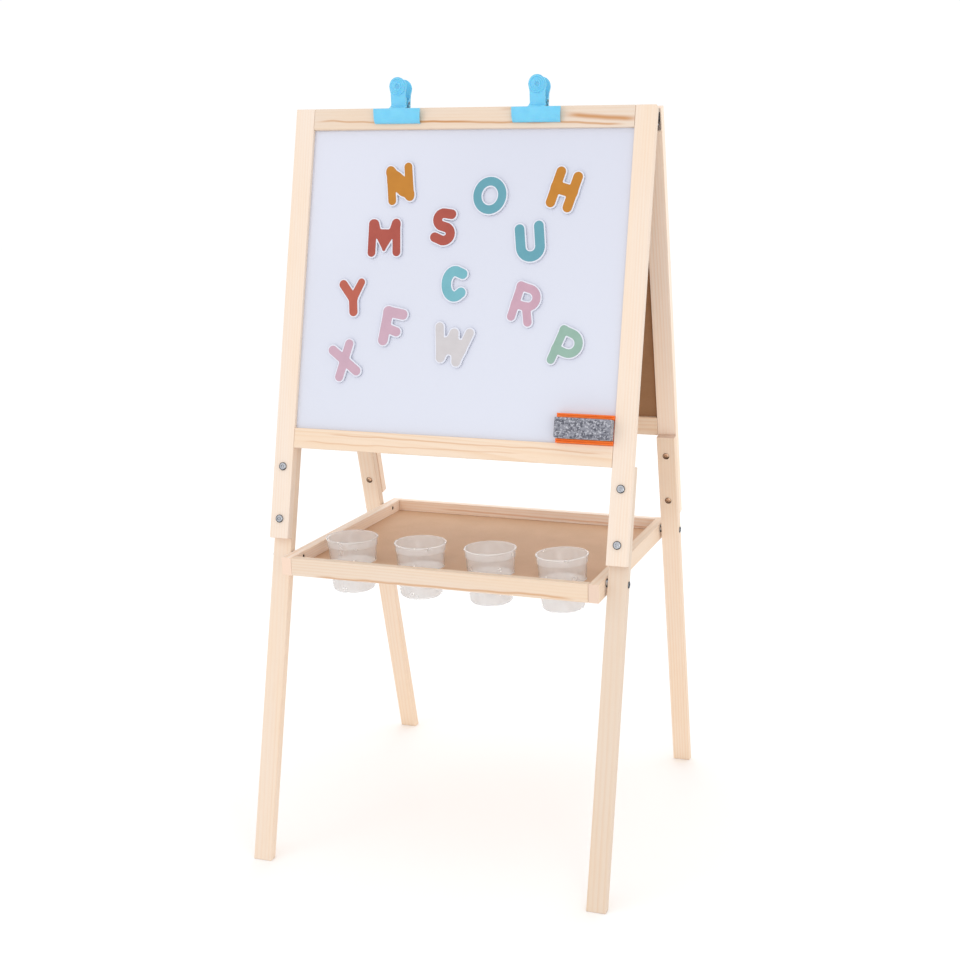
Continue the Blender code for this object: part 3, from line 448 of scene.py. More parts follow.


# metals, plastics, felt

# base and dull are the plating's own tones; edge is a painted dark reflection and painted shade, laid on at
# grazing angles and on faces turned down
metalLooks = {
    "zincPlate": {"base": (0.52, 0.535, 0.57), "dull": (0.28, 0.29, 0.32), "edge": (0.030, 0.040, 0.055),
                  "rough": 0.16},
    "brassPlate": {"base": (0.78, 0.52, 0.36), "dull": (0.40, 0.27, 0.15), "edge": (0.050, 0.022, 0.010),
                   "rough": 0.30},
    "darkSteel": {"base": (0.050, 0.042, 0.036), "dull": (0.030, 0.026, 0.024), "edge": (0.01, 0.01, 0.01),
                  "rough": 0.55},
    "springSteel": {"base": (0.56, 0.57, 0.60), "dull": (0.38, 0.38, 0.41), "edge": (0.10, 0.11, 0.12),
                    "rough": 0.24},
}
paintedShadeDown = (0.15, 0.0, -0.99)  # painted shade: plated faces turned this way, down towards the floor, are coloured darker


def metalMaterial(name):
    look = metalLooks[name]
    material, tree, shader, vector = newMaterial(name, Metallic=1.0)
    mottle = fillGroup(tree, mottleGroup, {"Vector": vector, "Coarse": 260.0, "Fine": 2600.0})
    worn = remap(tree, mottle["Cloud"], 0.45, 0.75, 0.0, 0.6)
    colour = blendColour(tree, worn, look["base"], look["dull"])
    # painted reflection and painted shade: the colour turns to the dark edge tone at grazing angles, as if a
    # dark room were mirrored, and on faces turned down
    turned = addNode(tree, "ShaderNodeLayerWeight", {"Blend": 0.5}).outputs["Facing"]
    facing = addNode(tree, "ShaderNodeNewGeometry").outputs["Normal"]
    low = vectorMaths(tree, "DOT_PRODUCT", {0: facing, 1: paintedShadeDown}, "Value")
    dark = maths(tree, "MAXIMUM", remap(tree, turned, 0.10, 0.38), remap(tree, low, 0.16, 0.40))
    colour = blendColour(tree, dark, colour, look["edge"])
    rough = maths(tree, "MULTIPLY_ADD", mottle["Speck"], 0.16, look["rough"])
    wire(tree, shader, Base_Color=colour, Roughness=rough, Normal=bumpOf(tree, mottle["Speck"], 0.00003, 0.4))
    return material


plasticLooks = {  # colour, deeper colour, roughness, strength of the texture, softness
    "clipBlue": ((0.185, 0.610, 0.860), (0.155, 0.570, 0.830), 0.30, 0.4, 0.15),
    "eraserOrange": ((0.940, 0.190, 0.012), (0.900, 0.155, 0.010), 0.34, 0.5),
    "letterWhite": ((0.750, 0.765, 0.850), (0.730, 0.745, 0.835), 0.30, 0.5),
}


def plasticMaterial(name, colour, shade, roughness, grit, soft=0.0):
    # Moulded plastic with a faint spark-eroded texture and slow changes of tone
    material, tree, shader, vector = newMaterial(name, Specular_IOR_Level=0.45, Subsurface_Weight=soft,
                                                 Subsurface_Scale=0.004)
    mottle = fillGroup(tree, mottleGroup, {"Vector": vector, "Coarse": 70.0, "Fine": 1800.0})
    wire(tree, shader, Base_Color=blendColour(tree, remap(tree, mottle["Cloud"], 0.3, 0.75), colour, shade),
         Roughness=maths(tree, "MULTIPLY_ADD", mottle["Speck"], 0.12, roughness),
         Normal=bumpOf(tree, mottle["Speck"], 0.00006, grit))
    return material


cupLook = {"body": (0.97, 0.960, 0.960), "thin": (0.98, 0.975, 0.975), "clear": 0.66, "rough": 0.22,
           "bend": 1.04, "coat": 0.7}


def cupMaterial():
    # Milky moulded plastic that scatters what lies behind it
    material, tree, shader, vector = newMaterial("frostedPlastic", Roughness=cupLook["rough"],
                                                 Transmission_Weight=cupLook["clear"], IOR=cupLook["bend"],
                                                 Coat_Weight=cupLook["coat"], Coat_Roughness=0.12)
    mottle = fillGroup(tree, mottleGroup, {"Vector": vector, "Coarse": 45.0, "Fine": 1500.0})
    wire(tree, shader, Base_Color=blendColour(tree, mottle["Cloud"], cupLook["body"], cupLook["thin"]),
         Roughness=maths(tree, "MULTIPLY_ADD", mottle["Cloud"], 0.08, cupLook["rough"]))
    return material


feltTones = {"dark": (0.085, 0.088, 0.115), "middle": (0.270, 0.275, 0.320), "light": (0.600, 0.605, 0.660)}


def feltMaterial():
    # Pressed wool of mixed greys: dark ground, lighter clumps and stray pale fibres
    material, tree, shader, vector = newMaterial("greyFelt", Roughness=0.96, Sheen_Weight=0.45,
                                                 Sheen_Roughness=0.5)
    fibres = stretched(tree, vector, (1.0, 1.0, 1.4))
    clumps = noiseOf(tree, fibres, 230.0, 3.0, 0.60)
    strays = noiseOf(tree, vector, 330.0, 3.0, 0.65)
    colour = blendColour(tree, remap(tree, clumps, 0.36, 0.60), feltTones["dark"], feltTones["middle"])
    colour = blendColour(tree, remap(tree, strays, 0.50, 0.66, 0.0, 0.85), colour, feltTones["light"])
    height = maths(tree, "ADD", clumps, strays)
    wire(tree, shader, Base_Color=colour, Normal=bumpOf(tree, height, 0.0012, 0.8))
    return material


materials = {name: metalMaterial(name) for name in metalLooks}
for name, looks in plasticLooks.items():
    materials[name] = plasticMaterial(name, *looks)
materials["cup"] = cupMaterial()
materials["felt"] = feltMaterial()
print("materials ready")


def dressNodes():
    for nodeName in woodCuts:
        setMaterial(nodes[nodeName], pineMaterial(nodeName))
    for nodeName in boardLooks:
        setMaterial(nodes[nodeName], panelMaterial(nodeName))
    setMaterial(nodes["tray_board"], hardboardMaterial())
    for side in ("left", "right"):
        for end in ("front", "rear"):
            setMaterial(nodes[f"hinge_{side}_{end}_leaf"], materials["zincPlate"])


def setMaterial(item, material):
    item.data.materials.clear()
    item.data.materials.append(material)


# mesh tools

def addPiece(name, bm, material, body, place=upright, stands=(), sharp=38):
    bmesh.ops.recalc_face_normals(bm, faces=bm.faces[:])
    mesh = bpy.data.meshes.new(name)
    bm.to_mesh(mesh)
    bm.free()
    if sharp:
        mesh.shade_smooth()
        mesh.set_sharp_from_angle(angle=radians(sharp))
    item = bpy.data.objects.new(name, mesh)
    bpy.context.collection.objects.link(item)
    item.matrix_world = place
    item.data.materials.append(material)
    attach(item, body)
    if stands:
        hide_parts(*stands)


def addTurned(bm, profile, place=upright, sides=48, hexagon=()):
    # Turns (radius, distance) points about place's Z axis; points listed in hexagon get six flats
    rings = []
    for index, (radius, along) in enumerate(profile):
        if radius == 0:
            rings.append([bm.verts.new(place @ Vector((0, 0, along)))])
            continue
        ring = []
        for step in range(sides):
            angle = 2 * pi * step / sides
            reach = radius
            if index in hexagon:
                reach = radius / cos((angle + pi / 6) % (pi / 3) - pi / 6)
            ring.append(bm.verts.new(place @ Vector((reach * cos(angle), reach * sin(angle), along))))
        rings.append(ring)
    for lower, upper in zip(rings, rings[1:]):
        for step in range(sides):
            after = (step + 1) % sides
            corners = [lower[step % len(lower)], lower[after % len(lower)],
                       upper[after % len(upper)], upper[step % len(upper)]]
            bm.faces.new(list(dict.fromkeys(corners)))


def addSwept(bm, outline, start, end, widthAt=None):
    # Sweeps a (y, z) outline along X; widthAt can draw the ends in at each height
    rows = []
    for x in (start, end):
        rows.append([bm.verts.new((x * (widthAt(z) if widthAt else 1), y, z)) for y, z in outline])
    bm.faces.new(rows[0])
    bm.faces.new(rows[1][::-1])
    for index in range(len(outline)):
        after = (index + 1) % len(outline)
        bm.faces.new((rows[0][index], rows[0][after], rows[1][after], rows[1][index]))


def softenEdges(bm, width, segments=2, angle=50):
    bmesh.ops.recalc_face_normals(bm, faces=bm.faces[:])
    sharp = radians(angle)
    edges = [edge for edge in bm.edges if len(edge.link_faces) == 2 and edge.calc_face_angle() > sharp]
    bmesh.ops.bevel(bm, geom=edges, offset=width, segments=segments, profile=0.5, affect="EDGES",
                    clamp_overlap=True)


def joinInto(bm, other):
    mesh = bpy.data.meshes.new("part")
    bmesh.ops.recalc_face_normals(other, faces=other.faces[:])
    other.to_mesh(mesh)
    other.free()
    bm.from_mesh(mesh)
    bpy.data.meshes.remove(mesh)


def addBlock(bm, low, high):
    spans = list(zip(low, high))
    corners = [bm.verts.new((x, y, z)) for x in spans[0] for y in spans[1] for z in spans[2]]
    for face in ((0, 1, 3, 2), (4, 6, 7, 5), (0, 4, 5, 1), (2, 3, 7, 6), (0, 2, 6, 4), (1, 5, 7, 3)):
        bm.faces.new([corners[index] for index in face])


def roundPath(centre, radii, start, end, steps):
    angles = [radians(start + (end - start) * step / steps) for step in range(steps + 1)]
    return [(centre[0] + radii[0] * cos(angle), centre[1] + radii[1] * sin(angle)) for angle in angles]


# shapes drawn as distance fields: negative inside, so that strokes melt together with small fillets

def strokeField(x, y, path, radius):
    first, last = radius if isinstance(radius, tuple) else (radius, radius)
    spans = len(path) - 1
    best = np.full(np.shape(x), 1e9)
    for index in range(spans):
        (ax, ay), (bx, by) = path[index], path[index + 1]
        dx, dy = bx - ax, by - ay
        share = np.clip(((x - ax) * dx + (y - ay) * dy) / (dx * dx + dy * dy), 0, 1)
        width = first + (last - first) * (index + share) / spans
        best = np.minimum(best, np.hypot(x - ax - share * dx, y - ay - share * dy) - width)
    return best


def melt(first, second, size):
    near = np.maximum(size - np.abs(first - second), 0) / size
    return np.minimum(first, second) - near * near * size / 4


def traceLoops(values, xs, ys):
    # Closed loops where the grid of values crosses zero
    inside = values < 0
    mixed = inside[:-1, :-1].astype(int) + inside[1:, :-1] + inside[:-1, 1:] + inside[1:, 1:]
    points = {}
    links = {}
    for row, column in zip(*np.nonzero((mixed > 0) & (mixed < 4))):
        corners = [(row, column), (row, column + 1), (row + 1, column + 1), (row + 1, column)]
        cuts = []
        for one, two in zip(corners, corners[1:] + corners[:1]):
            if inside[one] == inside[two]:
                continue
            key = (min(one, two), max(one, two))
            share = values[one] / (values[one] - values[two])
            x = xs[one[1]] + (xs[two[1]] - xs[one[1]]) * share
            y = ys[one[0]] + (ys[two[0]] - ys[one[0]]) * share
            points[key] = (x, y)
            cuts.append(key)
        for one, two in zip(cuts[::2], cuts[1::2]):
            links.setdefault(one, []).append(two)
            links.setdefault(two, []).append(one)
    loops = []
    while links:
        current = next(iter(links))
        loop = []
        while current in links:
            loop.append(points[current])
            following = [key for key in links.pop(current) if key in links]
            if not following:
                break
            current = following[0]
        loops.append(np.array(loop))
    return loops


def addPlate(bm, field, reach, step, front, back, roundness, grow=0.0, place=upright):
    # A plate in the XZ plane whose outline is where field is zero; its front edge is rounded
    xs = np.arange(reach[0], reach[1], step)
    ys = np.arange(reach[2], reach[3], step)
    values = field(*np.meshgrid(xs, ys)) - grow + roundness
    towards = 1 if back > front else -1
    tops = []
    bottoms = []
    for loop in traceLoops(values, xs, ys):
        px, py = loop[:, 0], loop[:, 1]
        small = step * 0.2
        nx = field(px + small, py) - field(px - small, py)
        ny = field(px, py + small) - field(px, py - small)
        size = np.maximum(np.hypot(nx, ny), 1e-9)
        nx, ny = nx / size, ny / size
        rims = [(roundness * sin(radians(turn)), front + towards * roundness * (1 - cos(radians(turn))))
                for turn in (0, 30, 60, 90)]
        rings = []
        for out, depth in rims + [(roundness, back)]:
            spots = zip(px + nx * out, py + ny * out)
            rings.append([bm.verts.new(place @ Vector((x, depth, y))) for x, y in spots])
        for upper, lower in zip(rings, rings[1:]):
            for index in range(len(upper)):
                after = (index + 1) % len(upper)
                bm.faces.new((upper[index], upper[after], lower[after], lower[index])).smooth = True
        tops.append(rings[0])
        bottoms.append(rings[-1])
    for sheets in (tops, bottoms):
        everyVert = [vert for ring in sheets for vert in ring]
        for triple in tessellate_polygon([[vert.co for vert in ring] for ring in sheets]):
            try:
                bm.faces.new([everyVert[index] for index in triple]).smooth = False
            except ValueError:  # a face without area, or one that is there already
                continue


# letters

letterSizes = {"border": 0.0019, "base": 0.0034, "colour": 0.0004, "round": 0.0005, "fillet": 0.0022,
               "step": 0.0006, "reach": (-0.036, 0.036, -0.040, 0.040), "gap": 0.0003}
letterShades = {
    "mustard": ((0.520, 0.205, 0.016), (0.490, 0.190, 0.014)),
    "brick": ((0.400, 0.078, 0.054), (0.372, 0.069, 0.048)),
    "terracotta": ((0.470, 0.110, 0.070), (0.440, 0.098, 0.062)),
    "teal": ((0.125, 0.345, 0.420), (0.114, 0.325, 0.400)),
    "aqua": ((0.175, 0.440, 0.510), (0.160, 0.415, 0.485)),
    "mauve": ((0.560, 0.345, 0.430), (0.530, 0.325, 0.410)),
    "pink": ((0.570, 0.375, 0.460), (0.545, 0.355, 0.440)),
    "sage": ((0.285, 0.440, 0.370), (0.265, 0.415, 0.345)),
    "oat": ((0.600, 0.570, 0.585), (0.575, 0.545, 0.560)),
}
bowlOfR = roundPath((2, 9.5), (13, 13), 90, -90, 14)
bowlOfP = roundPath((3.5, 3.5), (14.5, 14.5), 90, -90, 14)
spineOfS = [(12.5, 18.5)] + roundPath((0.5, 10.5), (9.5, 9.5), 85, 245, 10)
spineOfS += roundPath((1.5, -9.8), (10.8, 10.0), 65, -100, 11) + [(-12, -15)]
spineOfC = [(11.5, 14.5)] + roundPath((0, 0), (13, 18.5), 65, 295, 18) + [(10.5, -12.5)]
spineOfU = [(-14.3, 19)] + roundPath((0.2, -7.5), (14.5, 14.3), 180, 360, 14) + [(14.9, 20.5)]
# Each letter: spot on the board (mm from its middle and down from the post's top), tilt, shade, slot and
# strokes (points and half width in mm)
letterShapes = {
    "N": ((-102.5, 111), 7.5, "mustard", "mustard",
          [([(-14, 22), (-14, -23)], 6.2), ([(14.5, 23.5), (14.5, -20.5)], 6.2),
           ([(-13, 19), (13.5, -17)], 8.0), ([(-7, 7), (7, -7)], 12.5)]),
    "M": ((-122, 190), 0, "brick", "brick",
          [([(-20, 20.5), (-19.5, -22)], 6.2), ([(17.5, 22), (20.5, -20.5)], 6.2),
           ([(-17, 20), (0, -17)], (7.0, 2.0)), ([(17, 20), (0, -17)], (7.0, 2.0)),
           ([(-14, 6), (14, 6)], 6.5), ([(0, 4), (0, -12)], (5.0, 3.0))]),
    "S": ((-30.5, 173), 0, "brick", "brick", [(spineOfS, 7.0)]),
    "O": ((39, 127), -8, "teal", "teal", [(roundPath((0, 0), (19, 20.5), 0, 360, 40), 6.2)]),
    "H": ((151, 118), -16.4, "mustard", "mustard",
          [([(-13.3, 22.5), (-13.5, -23)], 7.1), ([(13.3, 22.5), (13, -22.5)], 7.1),
           ([(-12, 0), (12, 0)], 8.5)]),
    "U": ((104.5, 192), 8, "teal", "teal", [(spineOfU, 7.2)]),
    "Y": ((-167.5, 279), 0, "terracotta", "brick",
          [([(-16, 19), (1, -2), (3, -21)], 6.6), ([(13, 23), (1, -2)], (5.6, 6.4))]),
    "C": ((-6.5, 255), 0, "aqua", "teal", [(spineOfC, 7.3)]),
    "R": ((102.5, 281), -15.5, "mauve", "mauve",
          [([(-13.5, 22.5), (-13.5, -23)], 6.0), ([(-13.5, 22.5)] + bowlOfR + [(-13.5, -4)], 6.0),
           ([(4, -4), (13, -23.5)], 6.2)]),
    "F": ((-99.5, 319.5), -8, "pink", "mauve",
          [([(-11.5, 20), (-11.5, -22.5)], 7.6), ([(-11.5, 20), (12, 19.5)], 7.4),
           ([(-10, -4), (7, -7)], 6.6)]),
    "X": ((-174, 372), 0, "pink", "mauve", [([(-20, 14), (20, -15)], 6.8), ([(6, 24.5), (-7, -25)], 6.5)]),
    "W": ((-1.5, 341.5), 0, "oat", "oat",
          [([(-24, 23.5), (-20, -21)], 6.3), ([(-20, -21), (-0.8, 15)], 6.3), ([(-0.8, 15), (4.7, -26)], 6.3),
           ([(4.7, -26), (23.3, 16)], 6.3), ([(-11, -3), (7, -6)], 12)]),
    "P": ((168, 337), -21.4, "sage", "sage",
          [([(-11.3, 18), (-11.3, -28)], 5.9), ([(-11.3, 18)] + bowlOfP + [(-11.3, -11)], 6.0)]),
}


def letterField(strokes):
    fillet = letterSizes["fillet"]

    def field(x, y):
        total = None
        for path, radius in strokes:
            metres = [(px / 1000, py / 1000) for px, py in path]
            width = tuple(r / 1000 for r in radius) if isinstance(radius, tuple) else radius / 1000
            stroke = strokeField(x, y, metres, width)
            total = stroke if total is None else melt(total, stroke, fillet)
        return total

    return field


def buildLetters():
    sizes = letterSizes
    back = boardFace - sizes["gap"]
    lift = back - sizes["base"]
    for shade, (colour, deeper) in letterShades.items():
        materials["letter_" + shade] = plasticMaterial("letter_" + shade, colour, deeper, 0.55, 0.8)
    for letter, ((spotX, spotZ), tilt, shade, slot, strokes) in letterShapes.items():
        field = letterField(strokes)
        spot = Matrix.Translation((spotX / 1000, 0, postTop - spotZ / 1000))
        stand = spot @ Matrix.Rotation(-radians(tilt), 4, "Y")
        node = f"letter_{letter.lower()}"
        body = node + "_magnet"
        base = bmesh.new()
        addPlate(base, field, sizes["reach"], sizes["step"], lift, back, sizes["round"], sizes["border"], stand)
        addPiece(node + "_base", base, materials["letterWhite"], body, frontPlace, [node], sharp=0)
        face = bmesh.new()
        addPlate(face, field, sizes["reach"], sizes["step"], lift - sizes["colour"], lift,
                 sizes["colour"] * 0.7, 0.0, stand)
        addPiece(node + "_face", face, materials["letter_" + shade], body, frontPlace, sharp=0)
    print("letters built")


# cups

# Radii and heights (m); grip is the height where the tray holds a cup, about which its tilt (degrees) turns
cupShape = {"height": 0.082, "rim": 0.0390, "neck": 0.0374, "ring": 0.0364, "foot": 0.0320, "wall": 0.0011,
            "lip": 0.0022, "step": 0.0125, "corner": 0.0065, "grip": 0.045, "tilts": (0, 0.4, -0.3, -1.6)}


def roundFoot(radius, turns):
    # The curve from a cup's foot up into its wall, radius inside the corner's own centre
    c = cupShape
    return [(c["foot"] - c["corner"] + radius * sin(radians(turn)), c["corner"] - radius * cos(radians(turn)))
            for turn in turns]


def cupProfile():
    c = cupShape
    top = c["height"]
    step = top - c["step"]
    outer = [(0, 0.0012), (c["foot"] - 0.0100, 0.0012), (c["foot"] - 0.0088, 0.0), (c["foot"] - 0.0062, 0.0)]
    outer += roundFoot(c["corner"], (22, 45, 67, 88))
    outer += [(c["ring"] - 0.0002, step - 0.001), (c["ring"] + 0.0003, step - 0.0004),
              (c["neck"] - 0.0002, step + 0.0004), (c["neck"], step + 0.0014),
              (c["neck"] + 0.0003, top - c["lip"] - 0.0005), (c["rim"] - 0.0004, top - c["lip"]),
              (c["rim"], top - c["lip"] + 0.0005), (c["rim"], top - 0.0005), (c["rim"] - 0.0004, top),
              (c["neck"] - c["wall"] + 0.0006, top)]
    inner = [(c["neck"] - c["wall"], top - 0.0006), (c["neck"] - c["wall"] - 0.0002, step + 0.0012),
             (c["ring"] - c["wall"], step - 0.0004)]
    inner += roundFoot(c["corner"] - c["wall"], (85, 60, 35, 10))
    inner += [(c["foot"] - 0.0100, c["wall"] + 0.0008), (0, c["wall"] + 0.0008)]
    return outer + inner


def buildCups():
    for index, tilt in enumerate(cupShape["tilts"], start=1):
        low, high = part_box(f"paint_cup_{index}")
        foot = Vector(((low.x + high.x) / 2, (low.y + high.y) / 2, low.z))
        grip = Vector((0, 0, cupShape["grip"]))
        rock = Matrix.Rotation(radians(tilt), 4, "Y")
        place = Matrix.Translation(foot + grip) @ rock @ Matrix.Translation(-grip)
        bm = bmesh.new()
        addTurned(bm, cupProfile(), place, 72)
        addPiece(f"paint_cup_{index}_shell", bm, materials["cup"], f"cup_{index}", upright,
                 [f"paint_cup_{index}"])
    print("cups built")


# bolts

boltShape = {"head": 0.0060, "dome": 0.0030, "socket": 0.0021, "sink": 0.0018}
flatHead = {"head": 0.0050, "dome": 0.0012, "socket": 0.0021, "sink": 0.0007}
nutShape = {"radius": 0.0052, "dome": 0.0014, "hole": 0.0023, "depth": 0.0022}
trayBolt = {"shank": 0.0030, "chamfer": 0.0006, "washer": 0.0062, "washerThick": 0.0025}
insertShape = {"radius": 0.00325, "socket": 0.0021, "proud": 0.0018, "sunk": 0.0026}
hair = 0.0003  # stands a piece clear of the wood's face


def outwards(spot, direction):
    # A place at spot whose own Z axis points in direction
    turn = Vector((0, 0, 1)).rotation_difference(Vector(direction))
    return Matrix.Translation(spot) @ turn.to_matrix().to_4x4()


def addBoltHead(bm, place, b=boltShape):
    # A domed head standing on the wood at place, its axis outwards, with a hexagon socket
    profile = [(0, b["dome"] - b["sink"] - 0.0006), (b["socket"] * 0.96, b["dome"] - b["sink"]),
               (b["socket"], b["dome"] - 0.0003), (b["socket"] + 0.0004, b["dome"] - 0.0001)]
    for turn in range(20, 90, 10):
        profile.append((b["head"] * sin(radians(turn * 0.68 + 28.8)) ** 0.9,
                        b["dome"] * cos(radians(turn)) ** 0.8))
    profile += [(b["head"], 0.0004), (b["head"] - 0.0002, 0.0), (0, 0.0)]
    addTurned(bm, profile, place, 48, hexagon=(1, 2))


def addNut(bm, place):
    n = nutShape
    profile = [(0, -n["depth"]), (n["hole"] * 0.9, -n["depth"]), (n["hole"], n["dome"] - 0.0003),
               (n["hole"] + 0.0003, n["dome"]), (n["radius"] * 0.72, n["dome"]),
               (n["radius"] * 0.92, n["dome"] * 0.62), (n["radius"], n["dome"] * 0.2), (n["radius"], 0.0),
               (0, 0.0)]
    addTurned(bm, profile, place, 40, hexagon=(1, 2))


def addShank(bm, place, length):
    shank = trayBolt["shank"]
    chamfer = trayBolt["chamfer"]
    profile = [(0, 0), (shank, 0), (shank, length - chamfer), (shank - chamfer, length), (0, length)]
    addTurned(bm, profile, place, 32)


def addWasher(bm, place):
    # The spacer between the leg and the tray's side rail
    rim = trayBolt["washer"]
    thick = trayBolt["washerThick"]
    profile = [(0, 0), (rim - hair, 0), (rim, hair), (rim, thick - hair), (rim - hair, thick), (0, thick)]
    addTurned(bm, profile, place, 40)


def buildLegBolt(end, place, side, level):
    node = f"{end}_bolt_{side}_{level}"
    low, high = localBox(node, place)
    middle = (low + high) / 2
    legBack = localBox(f"{end}_leg_{side}", place)[1].y
    bm = bmesh.new()
    addBoltHead(bm, outwards((middle.x, railFace - hair, middle.z), (0, -1, 0)))
    addPiece(node + "_head", bm, materials["zincPlate"], f"{end}_frame", place, [node])
    bm = bmesh.new()
    addNut(bm, outwards((middle.x, legBack + hair, middle.z), (0, 1, 0)))
    addPiece(node + "_nut", bm, materials["brassPlate"], f"{end}_frame", place)


def buildTrayBolt(end, place, side):
    node = f"tray_bolt_{end}_{side}"
    low, high = localBox(node, place)
    middle = (low + high) / 2
    sign = 1 if middle.x > 0 else -1
    legEdges = [abs(corner.x) for corner in localBox(f"{end}_leg_{side}", place)]
    legOutside = max(legEdges)
    length = legOutside - min(abs(low.x), abs(high.x))
    bm = bmesh.new()
    addBoltHead(bm, outwards((sign * (legOutside + hair), middle.y, middle.z), (sign, 0, 0)), flatHead)
    addShank(bm, outwards((sign * legOutside, middle.y, middle.z), (-sign, 0, 0)), length)
    addWasher(bm, outwards((sign * (min(legEdges) - 0.0002), middle.y, middle.z), (-sign, 0, 0)))
    addPiece(node + "_bolt", bm, materials["zincPlate"], f"{end}_frame", place, [node])


def buildBolts():
    for end, place in (("front", frontPlace), ("rear", rearPlace)):
        for side in ("left", "right"):
            for level in ("upper", "lower"):
                buildLegBolt(end, place, side, level)
            buildTrayBolt(end, place, side)
    print("bolts built")


def buildTrayInserts():
    # Dark barrel nuts sunk in the side rails, one at each bolt
    pivot = Vector(joints["tray_swing"]["pos_m"])
    radius, socket, proud, sunk = insertShape.values()
    profile = [(0, 0), (radius, 0), (radius, proud - 0.0004), (radius - 0.00045, proud), (socket, proud),
               (socket - 0.0002, 0.0006), (0, 0.0006)]
    for side in ("left", "right"):
        low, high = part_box(f"tray_side_rail_{side}")
        sign = 1 if low.x > 0 else -1
        inner = low.x if sign > 0 else high.x
        for end, y in (("front", pivot.y), ("rear", -pivot.y)):
            bm = bmesh.new()
            place = outwards((inner + sign * sunk, y, pivot.z), (-sign, 0, 0))
            addTurned(bm, profile, place, 32, hexagon=(4, 5))
            addPiece(f"tray_insert_{end}_{side}", bm, materials["darkSteel"], "tray", upright)
    print("tray inserts built")


# hinges

hingeScrew = {"head": 0.0024, "leaf": 0.0015, "columns": {"a": -0.0078, "b": 0.0078},
              "rows": {"low": 0.0075, "high": 0.0165}}


def buildHingeScrew(end, side, place, level, hand):
    head = hingeScrew["head"]
    profile = [(0, -0.0006), (head * 0.30, -0.0004), (head * 0.42, 0.0007), (head * 0.8, 0.0006),
               (head, 0.0001), (head, -0.0002), (0, -0.0007)]
    low, high = localBox(f"hinge_{side}_{end}_leaf", place)
    spot = ((low.x + high.x) / 2 + hingeScrew["columns"][hand], railBack + hingeScrew["leaf"],
            low.z + hingeScrew["rows"][level])
    bm = bmesh.new()
    addTurned(bm, profile, outwards(spot, (0, 1, 0)), 28, hexagon=(1, 2))
    name = f"hinge_screw_{end}_{side}_{level}_{hand}"
    addPiece(name, bm, materials["zincPlate"], f"{end}_frame", place)


def buildHingeScrews():
    for end, place in (("front", frontPlace), ("rear", rearPlace)):
        for side in ("left", "right"):
            for hand in hingeScrew["columns"]:
                for level in hingeScrew["rows"]:
                    buildHingeScrew(end, side, place, level, hand)
    print("hinge screws built")


# clips

clipShape = {"jawWidth": 0.074, "jawDrop": 0.0235, "shelfDrop": 0.0030, "stand": 0.0090, "jawWall": 0.0020,
             "taper": 0.030, "wall": 0.0020, "head": 0.0131, "neck": 0.0116, "flare": 0.0012, "hole": 0.0034,
             "flangeWall": 0.0015, "wire": 0.00055, "coil": 0.0029, "turns": 6, "pin": 0.0252}
clipLevers = {"front": {"away": -1, "root": 0.0020, "grip": 0.0167, "height": 0.0300, "flange": 0.0086},
              "rear": {"away": 1, "root": 0.0010, "grip": 0.0053, "height": 0.0328, "flange": 0.0104}}


def clipPivot(index):
    return frontPlace.inverted() @ Vector(joints[f"clip_{index}_open"]["pos_m"])


def addJaw(bm, away, face, lip, height):
    # A quarter-round plate that curves out from the lip, its ends drawn in a little towards the lip
    c = clipShape
    outer = []
    inner = []
    for step in range(13):
        angle = radians(90) * step / 12
        rise = 1 - cos(angle)
        outer.append((face + away * (0.0013 + (c["stand"] - 0.0013) * sin(angle)), lip + height * rise))
        inner.append((face + away * (0.0003 + (c["stand"] - 0.0024) * sin(angle)),
                      lip + (height - c["jawWall"]) * rise))
    half = c["jawWidth"] / 2
    addSwept(bm, outer + inner[::-1], -half, half,
             lambda z: 1 - c["taper"] * min(max((lip + height - z) / height, 0), 1))
    softenEdges(bm, 0.0007, 2, 40)


def addShelf(bm, away, jawY, jawZ, root):
    # Leads back from the jaw to the lever
    c = clipShape
    inside = root.y - away * c["wall"]
    outline = [(jawY - away * 0.0002, jawZ - 0.0016), (jawY - away * 0.0002, jawZ + 0.0001),
               (root.y, root.z + 0.0016), (inside, root.z + 0.0016), (inside, root.z),
               (root.y, root.z - 0.0005), (jawY - away * 0.0015, jawZ - 0.0016)]
    shelf = bmesh.new()
    addSwept(shelf, outline, -c["neck"] - c["flare"], c["neck"] + c["flare"])
    softenEdges(shelf, 0.0003, 1, 60)
    joinInto(bm, shelf)


def addLever(bm, away, root, grip):
    # In the lever's own axes Z runs up its slope and Y out of its show side
    c = clipShape
    slope = atan2(away * (grip.y - root.y), grip.z - root.z)
    blade = Matrix.Translation(root) @ Matrix.Rotation(-away * slope, 4, "X")
    headUp = (grip - root).length

    def leverField(x, z):
        head = np.hypot(x, z - headUp) - c["head"]
        neck = np.maximum(np.abs(x) - c["neck"], np.maximum(-z, z - headUp))
        foot = np.maximum(np.abs(x) - c["neck"] - c["flare"], np.maximum(-z, z - 0.0012))
        solid = melt(melt(head, neck, 0.003), foot, 0.0040)
        return np.maximum(solid, c["hole"] - np.hypot(x, z - headUp))

    reach = (-0.020, 0.020, -0.004, headUp + 0.018)
    addPlate(bm, leverField, reach, 0.0006, 0.0, -away * c["wall"], 0.0005, 0.0, blade)

    # The moulded rings round the hole: (radius, height) round a closed outline
    rings = [(0.0120, -0.0002), (0.0119, 0.0012), (0.0113, 0.0020), (0.0104, 0.0020), (0.0098, 0.0012),
             (0.0091, 0.0005), (0.0068, 0.0004), (0.0060, 0.0007), (0.0055, 0.0018), (0.0044, 0.0018),
             (c["hole"], 0.0008), (c["hole"], -0.0010)]
    eye = blade @ Matrix.Translation((0, 0, headUp)) @ Matrix.Rotation(-away * radians(90), 4, "X")
    dish = bmesh.new()
    addTurned(dish, rings + rings[:1], eye, 48)
    bmesh.ops.remove_doubles(dish, verts=dish.verts[:], dist=1e-6)
    joinInto(bm, dish)


